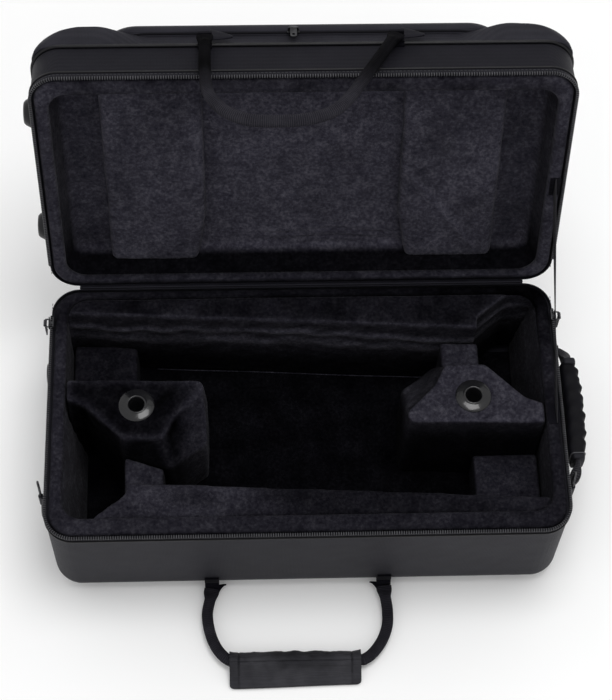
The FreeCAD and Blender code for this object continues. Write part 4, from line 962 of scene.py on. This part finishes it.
def makeFold(name, body, x, hand):
    # The webbing's spare end beside the handle, folded to a triangle: its width falls to a point along X.
    s = foldShape[body]
    share = np.linspace(0, 1, 16)
    fall = (1 - share) ** s["taper"]
    path = np.stack([x + hand * (s["run"][0] + s["run"][1] * share), -halfWidth - s["out"] - s["lift"] * fall,
                     s["z"] - s["drop"] * share], -1)
    sweepPiece(name, path, s["up"], s["half"] * fall + s["point"], 0.0011, squared(circle(20), 0.5), body,
               s["cloth"], "webbing")


for side, place, inward in (("Left", frontRoute[0][0], 1), ("Right", frontRoute[-1][0], -1)):
    narrowTab("frontHandleAnchor" + side, "base", place)
    makeTongue("frontHandleTongue" + side, place)
    makeFold("frontHandleFold" + side, "base", place, inward)
for side, place in (("Left", lidRoute[0][0]), ("Right", lidRoute[-1][0])):
    narrowTab("lidHandleTab" + side, "lid", place)
    makeFold("lidHandleFold" + side, "lid", place, 1)
print("scene: webbing handles ready")


# Cloth wrap on the front handle: sleeve, lower lip and the flap over it.

wrapShape = {
    "left": -0.089,
    "right": 0.058,
    "middle": (-0.246, 0.0101),
    "bore": 0.0068,
    "outer": 0.0092,
    "depth": 0.0285,
    "thick": 0.0024,
    "wave": 0.0012,
    "narrow": 0.09,  # how much less it reaches out at the right
    "hem": 0.0104,  # from each end
    "hemRise": 0.0012,
    "corner": 0.0035,
}


def wrapPaintedShade(points, normals):
    # Painted shade: a dark hollow behind the middle, painted shadow in grooves inside both hems, and light and dark
    # creases painted over the cloth; the hem bands are darker.
    w = wrapShape
    x, y, z = points.T
    edge = np.minimum(x - w["left"], w["right"] - x)
    hollow = ridge(x, -0.008, 0.034, 4) * smoothStep(y, -0.260, -0.250)
    creases = 0.38 * ripple(points * [1, 1.5, 0], 0.018, 83) + 0.25 * ripple(points * [1, 1, 0], 0.05, 85)
    return 1.95 - 1.05 * hollow - ridge(edge, w["hem"], 0.0011) - 0.35 * (edge < 0.0098) + creases


def wrapStrip(name, outline, body):
    # A closed outline in the YZ plane carried along X, with a slow wave, puckers at the back and a hem at both ends.
    w = wrapShape
    y, z = outline.T
    x = np.linspace(w["left"], w["right"], 230)
    line = np.stack([x, 0 * x, 0 * x], -1)
    edge = np.minimum(x - w["left"], w["right"] - x)
    narrow = 1 - w["narrow"] * smoothStep(x, w["left"], w["right"])
    hem = w["hemRise"] * ridge(edge, w["hem"], 0.0009) - 0.0005 * (1 - smoothStep(edge, 0.0085, w["hem"]))
    wave = ripple(line, 0.09, 73) * w["wave"]
    pucker = 0.0010 + 0.0011 * ripple(line, 0.022, 75) + 0.0016 * np.exp(-edge / 0.012)
    corner = w["corner"] * np.exp(-edge / 0.0018)
    points = np.zeros((len(x), len(y), 3))
    points[..., 0] = x[:, None]
    points[..., 1] = w["middle"][0] + y * np.where(y < -0.008, narrow[:, None], 1)
    for along, across in ((wave, smoothStep(y, -0.004, 0.008)), (pucker, smoothStep(y, 0.003, 0.0088)),
                          (corner, 1 - smoothStep(y, -w["depth"], -0.018))):
        points[..., 1] += along[:, None] * across
    flat = points.reshape(-1, 3)
    dent, crumple = (ripple(flat, size, seed).reshape(points.shape[:2]) for size, seed in ((0.045, 79), (0.014, 81)))
    sink = (0.0007 * (dent + 1) + 0.0005 * crumple) * smoothStep(z, -0.006, -0.001)
    points[..., 2] = w["middle"][1] + z - sink - hem[:, None] * (z > 0)
    makePiece(name, points, tubeFaces(*points.shape[:2]), body, gripCloth, "grip_leather", lie=wrapPaintedShade)


def arcPoints(radius, start, end):
    angle = np.radians(np.linspace(start, end, 26))
    return np.stack([radius * np.cos(angle), radius * np.sin(angle)], -1)


def makeWrap():
    # Round inside the sleeve, out along the lip's upper face, back along its lower face and round outside.
    w = wrapShape
    low = -w["outer"]
    lipIn = np.stack([np.linspace(-0.006, -w["depth"] + 0.001, 14), np.full(14, low + w["thick"])], -1)
    lipOut = np.stack([np.linspace(-w["depth"], 0, 16), np.full(16, low)], -1)[:-1]
    outline = [arcPoints(w["bore"], 108, -90), lipIn, lipOut, arcPoints(w["outer"], -90, 104)]
    wrapStrip("gripWrap", np.concatenate(outline), "front_handle")


def makeFlap():
    # The flap leaves the top of the sleeve, rounds its front and lies on the lip.
    w = wrapShape
    top = smoothPath([(-0.0025, w["outer"] - 0.0002), (-0.006, w["outer"] * 0.86), (-0.0105, 0.0035),
                      (-0.017, -0.0008), (-0.024, -0.0035), (-w["depth"], -0.0046)], 30)[0]
    step = np.gradient(top, axis=0)
    step /= np.linalg.norm(step, axis=1, keepdims=True)
    below = top + np.stack([step[:, 1], -step[:, 0]], -1) * -w["thick"] * 0.85
    below[:, 1] = np.maximum(below[:, 1], w["thick"] - w["outer"] + 0.0006)
    wrapStrip("gripFlap", np.concatenate([top, below[::-1]]), "grip_flap")


makeWrap()
makeFlap()
print("scene: grip wrap ready")


# End grip: moulded rubber with finger scallops, on a webbing strap.

gripShape = {
    "axis": (0.292, 0.110),
    "start": -0.048,
    "end": 0.066,
    "reach": 0.015,  # strap centre out from the swing axis at mid length
    "endReach": 0.012,
    "inner": 0.0117,
    "outer": 0.011,
    "tall": 0.030,
    "fingers": 6,
    "fingerDepth": 0.0018,
    "flutes": 10,
    "fluteDepth": 0.0010,
    "dimpleDepth": 0.0014,
    "taper": 0.22,
}


def makeEndGrip():
    # A squared oval carried along the strap's bow, cut by waves for fingers and by finer flutes at its outer corners.
    g = gripShape
    y = np.linspace(g["start"], g["end"], 150)
    along = (y - (g["start"] + g["end"]) / 2) / (g["end"] - g["start"]) * 2
    centre = g["axis"][0] + g["reach"] - (g["reach"] - g["endReach"]) * along ** 2
    finger = 0.5 - 0.5 * np.cos(math.pi * g["fingers"] * (along + 1))
    angle = circle(56)
    squareCos, squareSin = squared(angle, 0.6)
    taper = 1 - g["taper"] * np.abs(along) ** 6
    out = (g["outer"] - g["fingerDepth"] * (1 - finger)) * taper
    wide = np.where(np.cos(angle)[None] > 0, out[:, None], g["inner"] * taper[:, None])
    flute = np.sin(math.pi * g["flutes"] * (along + 1)) * g["fluteDepth"]
    corner = np.clip(np.cos(angle), 0, 1) * np.abs(np.sin(angle)) * 2
    x = centre[:, None] + wide * squareCos + flute[:, None] * corner
    inside = smoothStep(-np.cos(angle), -0.35, 0.3) * np.sin(angle)
    z = g["axis"][1] + (g["tall"] / 2 * taper[:, None]) * squareSin - g["dimpleDepth"] * finger[:, None] * inside
    points = np.stack([x, np.broadcast_to(y[:, None], x.shape), z], -1)
    makePiece("endGrip", points, tubeFaces(*x.shape), "end_grip", gripRubber, "grip_rubber")


strapShape = {
    "route": [(0.0, 0.087), (0.0045, 0.0855), (0.0095, 0.080), (0.0118, 0.0725), (0.0122, 0.064), (0.0145, 0.035),
              (0.015, 0.0), (0.0145, -0.03), (0.0128, -0.050), (0.0112, -0.062), (0.0078, -0.073),
              (0.0038, -0.0795), (0.0, -0.083)],
    "half": (0.0038, 0.0118),  # half its width at the eyes and along the rest
    "thick": (0.0036, 0.0027),
    "backRoll": (0.0017, 0.014, 0.007),  # added thickness, its place from the end, and its width
    "frontRoll": (0.0026, 0.016, 0.008),
    "steps": 160,
}


def makeEndStrap():
    # Flat webbing with rounded edges from eye to eye, narrow at the eyes. A bell beside each adds its folded end.
    s, (axisX, axisZ) = strapShape, gripShape["axis"]
    path, length = smoothPath([(axisX + x, y, axisZ) for x, y in s["route"]], s["steps"])
    at = np.linspace(0, length, s["steps"])
    near = np.minimum(at, length - at)
    tall = mix(*s["half"], smoothStep(near, 0.008, 0.022))
    thick = mix(*s["thick"], smoothStep(near, 0.012, 0.03))
    for place, (more, centre, width) in ((at, s["backRoll"]), (length - at, s["frontRoll"])):
        thick += more * ridge(place, centre, width)
    profile = squared(circle(28), 0.35)
    sweepPiece("endGripStrap", path, (0, 0, 1), thick, tall, profile, "end_grip", webbing, "webbing",
               uvs=stripUvs((profile[1] * 0.5 + 0.5) * 1.6, at), shut=False)


cuffShape = {"out": 0.0128, "halfThick": 0.0072, "halfTall": 0.0138, "bulge": 0.0006}


def makeCuff(name, y, material, half=0.0035, proud=0.0):
    # A band round the strap beside the grip, swelling by a parabola across its width.
    s, (axisX, axisZ) = cuffShape, gripShape["axis"]
    rows = np.linspace(-half, half, 9)
    squareCos, squareSin = squared(circle(40), 0.4)
    bulge = s["bulge"] * (1 - (rows / half) ** 2) + proud
    x = axisX + s["out"] + (s["halfThick"] + bulge)[:, None] * squareCos
    z = axisZ + (s["halfTall"] + bulge)[:, None] * squareSin
    points = np.stack([x, np.broadcast_to((y + rows)[:, None], x.shape), z], -1)
    makePiece(name, points, tubeFaces(*x.shape), "end_grip", material, "webbing")


makeEndGrip()
makeEndStrap()
makeCuff("endGripCuffFront", gripShape["start"] - 0.003, bindingCloth)
makeCuff("endGripCuffBack", gripShape["end"] + 0.002, bindingCloth)
makeCuff("endGripCuffLine", gripShape["start"] - 0.0002, cuffEdge, 0.0006, 0.0010)
print("scene: end grip ready")


# Turned pieces: mouthpiece holders and feet, each a profile turned about its axis.

def turnedPiece(name, profile, centre, axis, *finish):
    # Each profile point (radius, height) is carried round the axis.
    profile, axis = np.asarray(profile, float), np.asarray(axis, float)
    angle = circle(72)[:, None, None]
    side = np.cross(axis, (0.0, 1.0, 0.0))
    spoke = np.cos(angle) * side + np.sin(angle) * np.cross(axis, side)
    points = np.asarray(centre) + spoke * profile[None, :, 0:1] + axis * profile[None, :, 1:2]
    makePiece(name, points, gridFaces(*points.shape[:2], True, False), *finish)


holderShape = {
    "x": 0.1874,
    "y": 0.006,
    "slant": 0.0024,  # the right one stands this far behind the middle, the left one before it
    "z": 0.1573,
    "profile": [(0.0, -0.052), (0.0088, -0.052), (0.0088, 0.0014), (0.0089, 0.0024), (0.0094, 0.0030),
                (0.0101, 0.0032), (0.0108, 0.0031), (0.0114, 0.0027), (0.0125, 0.0024), (0.0155, 0.0018),
                (0.0182, 0.0011), (0.0192, 0.0007), (0.0199, 0.0002), (0.0200, -0.0003), (0.0196, -0.0008),
                (0.0185, -0.0010), (0.0118, -0.0010), (0.0118, -0.0548), (0.0, -0.0548)],
}
footShape = {
    "spread": 0.083,
    "profile": [(0.0, 0.0115), (0.005, 0.0116), (0.0095, 0.0113), (0.0105, 0.0106), (0.0115, 0.0111),
                (0.0135, 0.0092), (0.0152, 0.0060), (0.0163, 0.0036), (0.0169, 0.0018), (0.0170, 0.0)],
    "level": {"base": 0.079, "lid": 0.189},
}

for side, hand in (("Left", -1), ("Right", 1)):
    h = holderShape
    turnedPiece("mouthpieceHolder" + side, h["profile"], (hand * h["x"], h["y"] + hand * h["slant"], h["z"]),
                (0, 0, 1), "base", glossPlastic, "holder_plastic")
for side, hand in (("Front", -1), ("Back", 1)):
    for body, level in footShape["level"].items():
        turnedPiece("foot" + body.capitalize() + side, footShape["profile"],
                    (-halfLength, hand * footShape["spread"], level), (-1, 0, 0), body, footRubber, "foot_rubber")
print("scene: holders and feet ready")


# Lid pocket: the sloping gusset and the puffed flap, both nylon with soft wrinkles.

pocketShape = {
    "low": 0.2113,
    "top": 0.2353,
    "taper": (0.076, 0.007, 0.013),  # how far the zip lies inside the lid's edge at the ends, front and back
    "corner": (0.018, 0.026),  # the seam's corner, and what the zip's adds to it
    "leastCorner": 0.004,
    "wall": 0.003,
    "wrinkle": 0.0011,
    "swell": 0.0070,
    "bulge": 0.0065,  # how far the gusset swells out
    "pullRun": 0.165,  # the gusset's front stays flat this far each way, where the pull travels
    "runFade": 0.05,
    "runLap": 0.004,
    "flapLow": 0.2357,
    "flapRise": 0.017425,
    "flapWall": 0.003,
    "lean": 0.0092,  # how far the flap's front swells past its zip
    "reach": 0.139,
}


def pocketRing(share, inset):
    # The pocket's outline between the seam, share 0, and the zip, share 1.
    p = pocketShape
    side, front, back = (half - share * taper - inset
                         for half, taper in zip((halfLength, halfWidth, halfWidth), p["taper"]))
    corner = p["corner"][0] + share * p["corner"][1] - inset
    return roundedLoop(side, front, back, max(corner, p["leastCorner"]), 14, 60)


def makeGusset():
    # Rings from the seam up to the zip and back down inside. The height nears the zip by a sixth power, or by a
    # square where the pull runs, and the ends and corners swell by half a sine.
    p = pocketShape
    shares = np.concatenate([np.linspace(0, 1, 26), np.linspace(1, 0, 12)])
    insets = np.concatenate([np.zeros(26), np.full(12, p["wall"])])
    tall = p["top"] - p["low"]
    rings = [atHeight(pocketRing(share, inset), p["low"] + (1 - (1 - share) ** 6) * tall)
             for share, inset in zip(shares, insets)]
    rows, columns = len(rings), len(rings[0])
    flat = np.concatenate(rings)
    share, outer = np.repeat(shares, columns), np.repeat(insets == 0, columns)
    run = (flat[:, 1] < 0) * (1 - smoothStep(np.abs(flat[:, 0]), p["pullRun"], p["pullRun"] + p["runFade"]))
    plump = (1 - run) * (1 - smoothStep(flat[:, 1], 0.09, 0.13)) * np.sin(math.pi * share) * outer
    flat[:, 2] += (p["low"] + (1 - (1 - share) ** 2) * tall - flat[:, 2]) * run
    flat[:, 1] += run * p["runLap"] * (1 - share)
    shake = ripple(flat * [1, 1, 0.4], 0.06, 21)
    flat[:, 2] += plump ** 0.7 * (p["swell"] + (shake - 0.5) * p["wrinkle"] * 1.5)
    for axis, half in ((1, halfWidth), (0, halfLength)):
        flat[:, axis] *= 1 + plump ** 0.6 * p["bulge"] / half
    makePiece("pocketGusset", flat, gridFaces(rows, columns, True), "lid", pocketNylon, "shell_fabric")


def makePocketFlap():
    # Rings from the zip in to the middle, raised as one less an exponential of the way in, gently at the back.
    # A bell beside the zip leans them out. The underside has a thicker edge.
    p = pocketShape
    insets = p["reach"] * np.linspace(0, 1, 34) ** 1.6
    rings = []
    for inset in insets:
        loop = pocketRing(1, inset)
        back = smoothStep(loop[:, 1], 0.08, 0.13)
        soft = (1 - np.exp(-inset / 0.0032)) * (1 - back) + (1 - np.exp(-inset / 0.022)) * back
        lean = p["lean"] * (1 - back) * ridge(inset, 0.003, 0.006) * (inset > 0)
        rings.append(atHeight(loop * (1 + lean[:, None] / halfWidth), p["flapLow"] + p["flapRise"] * soft))
    under = [atHeight(pocketRing(1, inset), p["flapLow"] + rise)
             for inset, rise in ((0.0, 0), (0.018, 0), (0.020, p["flapWall"]), (p["reach"], p["flapWall"]))]
    rings = rings[::-1] + under
    rows, columns = len(rings), len(rings[0])
    flat = np.concatenate(rings)
    top = np.repeat(np.concatenate([insets[::-1] > 0.003, np.zeros(4, bool)]), columns)
    flat[:, 2] += top * (ripple(flat * [1, 1, 0], 0.11, 33) - 0.6) * p["wrinkle"]
    makePiece("pocketFlap", flat, tubeFaces(rows, columns), "pocket_flap", pocketNylon, "shell_fabric")


flangeShape = {"out": 0.0024, "section": ((0.0, 0.2112), (0.0085, 0.2122), (0.0085, 0.2114), (0.0, 0.2102))}


def makePipingFlange():
    # The piping's sewn edge, from the lid's top round in under the pocket: a thin closed band.
    grow = flangeShape["out"]
    side, front, radius = halfLength + grow, halfWidth + grow, case["cornerRadius"] + grow
    rings = [atHeight(roundedLoop(side - inset, front - inset, front - inset, radius - inset, 14, 60), height)
             for inset, height in flangeShape["section"]]
    makePiece("lidPipingFlange", np.concatenate(rings), gridFaces(4, len(rings[0]), True), "lid", pipingVinyl,
              "piping")


tapeShape = {"inset": (0.002, -0.0021, -0.0021, 0.002), "drop": (0.0004, 0.0004, 0.0010, 0.0010), "back": 0.10}


def makePocketTape():
    # The zip's tape along both ends and the front: a thin closed band from the gusset's edge out to the coil.
    rings = []
    for inset, drop in zip(tapeShape["inset"], tapeShape["drop"]):
        loop = pocketRing(1, inset)
        loop = np.roll(loop, -int(np.argmax(loop[:, 1] - 0.001 * np.abs(loop[:, 0]))), axis=0)
        rings.append(atHeight(loop[loop[:, 1] < tapeShape["back"]], pocketShape["flapLow"] - drop))
    count = min(len(ring) for ring in rings)
    points = np.stack([ring[:count] for ring in rings], 1)
    makePiece("pocketZipTape", points, tubeFaces(count, 4), "lid", zipCloth, "zip_tape")


makeGusset()
makePocketFlap()
makePocketTape()
makePipingFlange()
print("scene: pocket ready")


# Stay strap and hinge strip cross the lid's joint.

stayShape = {
    "start": (0.278, -0.015, 0.1584),
    "end": (0.275, 0.1902, 0.3007),
    "width": 0.025,
    "thick": 0.0012,
    "sag": 0.004,
}


def makeStay():
    # A flat ribbon between the two rims, sagging by a parabola. Its width turns from the base's Y to the lid's slope.
    s = stayShape
    share = np.linspace(0, 1, 80)
    path = np.asarray(s["start"]) + share[:, None] * np.subtract(s["end"], s["start"])
    path[:, 2] -= s["sag"] * 4 * share * (1 - share)
    lean = smoothStep(share, 0.0, 1.0)[:, None]
    width = (1 - lean) * [0.0, 1.0, 0.0] + lean * [0.0, -math.cos(lidTurn), math.sin(lidTurn)]
    width /= np.linalg.norm(width, axis=1, keepdims=True)
    profile = squared(circle(20), 0.3)
    coords, faces = carry(path, width, np.broadcast_to([1.0, 0.0, 0.0], width.shape), s["width"] / 2, s["thick"] / 2,
                          profile)
    uvs = stripUvs(profile[0] * 0.8, share * np.linalg.norm(path[-1] - path[0]))
    piece = makePiece("stayStrap", coords, faces, None, webbing, "webbing", uvs)
    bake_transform(piece)


hingeShape = {"halfLength": 0.254, "lap": 0.018, "gap": 0.0003, "thick": 0.0008}


def makeHinge():
    # A thin strip: up the back of the base, tightly round the hinge line and out along the lid's back.
    h = hingeShape
    cosine, sine = math.cos(lidTurn), math.sin(lidTurn)
    steps = np.linspace(-1, 1, 41)
    sheets = []
    for offset in (h["gap"], h["gap"] + h["thick"]):
        near = offset / math.tan((math.pi - lidTurn) / 2)
        along = near + (h["lap"] - near) * np.abs(steps)
        baseSide = np.stack([np.full(len(steps), offset), -along], -1)
        lidSide = np.stack([along * sine + offset * cosine, along * cosine - offset * sine], -1)
        sheets.append(np.where(steps[:, None] < 0, baseSide, lidSide))
    profile = np.concatenate([sheets[0], sheets[1][::-1]]) + [halfWidth, rim]
    x = np.linspace(-h["halfLength"], h["halfLength"], 120)
    points = np.stack([np.column_stack([np.full(len(profile), place), profile]) for place in x])
    piece = makePiece("hingeFabric", points, tubeFaces(*points.shape[:2]), None, hingeCloth, "hinge_cloth")
    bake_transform(piece)


makeStay()
makeHinge()
print("scene: stay and hinge ready")


# Floor, light and camera.

studio = {
    "floor": (0.96, 0.96, 0.96),
    "floorShade": 0.985,
    "floorRadius": 12,
    "sky": 0.82,
    "lightPlace": (0.25, 0.10, 2.3),
    "lightTarget": (0, 0.0, 0.1),
    "lightSize": 0.9,
    "lightPower": 18,
    "cameraPlace": (-0.06042, -0.91170, 2.04538),
    "pitch": -62.502,
    "yaw": -3.655,
    "roll": 2.370,
    "lens": 97.18,
}


def makeFloor():
    # A wide disc, its rings further apart the further out they lie.
    radius = (np.linspace(0, 1, 30) ** 2 * studio["floorRadius"])[:, None]
    angle = circle(96)
    points = np.stack([radius * np.cos(angle), radius * np.sin(angle), np.zeros((30, 96))], -1)
    floor = newObject("floor", bpy.data.meshes.new("floor"))
    floor.data.from_pydata(points.reshape(-1, 3).tolist(), [], gridFaces(30, 96))
    paper = Surface("paleFloor", {"roughness": 0.9, "gloss": 0.1})
    low = tuple(channel * studio["floorShade"] for channel in studio["floor"])
    paper.paint(paper.noise(3.0, 2.0), [(0.3, low), (0.7, studio["floor"])])
    floor.data.materials.append(paper.material)


def makeStudio():
    # A white sky of even strength, and one soft lamp above.
    bpy.context.scene.view_settings.view_transform = "Standard"
    world = bpy.data.worlds.new("studio")
    world.use_nodes = True
    sky = world.node_tree.nodes["Background"].inputs
    sky["Color"].default_value = (1, 1, 1, 1)
    sky["Strength"].default_value = studio["sky"]
    bpy.context.scene.world = world
    light = bpy.data.lights.new("topLight", "AREA")
    light.energy = studio["lightPower"]
    light.size = studio["lightSize"]
    lamp = newObject("topLight", light)
    lamp.location = studio["lightPlace"]
    aim = Vector(studio["lightTarget"]) - Vector(studio["lightPlace"])
    lamp.rotation_euler = aim.to_track_quat("-Z", "Y").to_euler()


def makeCamera():
    # Looks along a direction given by pitch and yaw, then rolls about it.
    s = studio
    pitch, yaw, roll = (math.radians(s[key]) for key in ("pitch", "yaw", "roll"))
    turn = Matrix.Rotation(yaw, 3, "Z") @ Matrix.Rotation(pitch, 3, "X")
    ahead, right, up = turn.col[1], turn.col[0], turn.col[2]
    rolledRight = right * math.cos(roll) + up * math.sin(roll)
    rolledUp = up * math.cos(roll) - right * math.sin(roll)
    camera = newObject("camera", bpy.data.cameras.new("camera"))
    camera.data.lens = s["lens"]
    camera.data.sensor_width = 36
    basis = Matrix((rolledRight, rolledUp, -ahead)).transposed().to_4x4()
    camera.matrix_world = Matrix.Translation(s["cameraPlace"]) @ basis
    bpy.context.scene.camera = camera


makeFloor()
makeStudio()
makeCamera()
print("scene: studio ready")
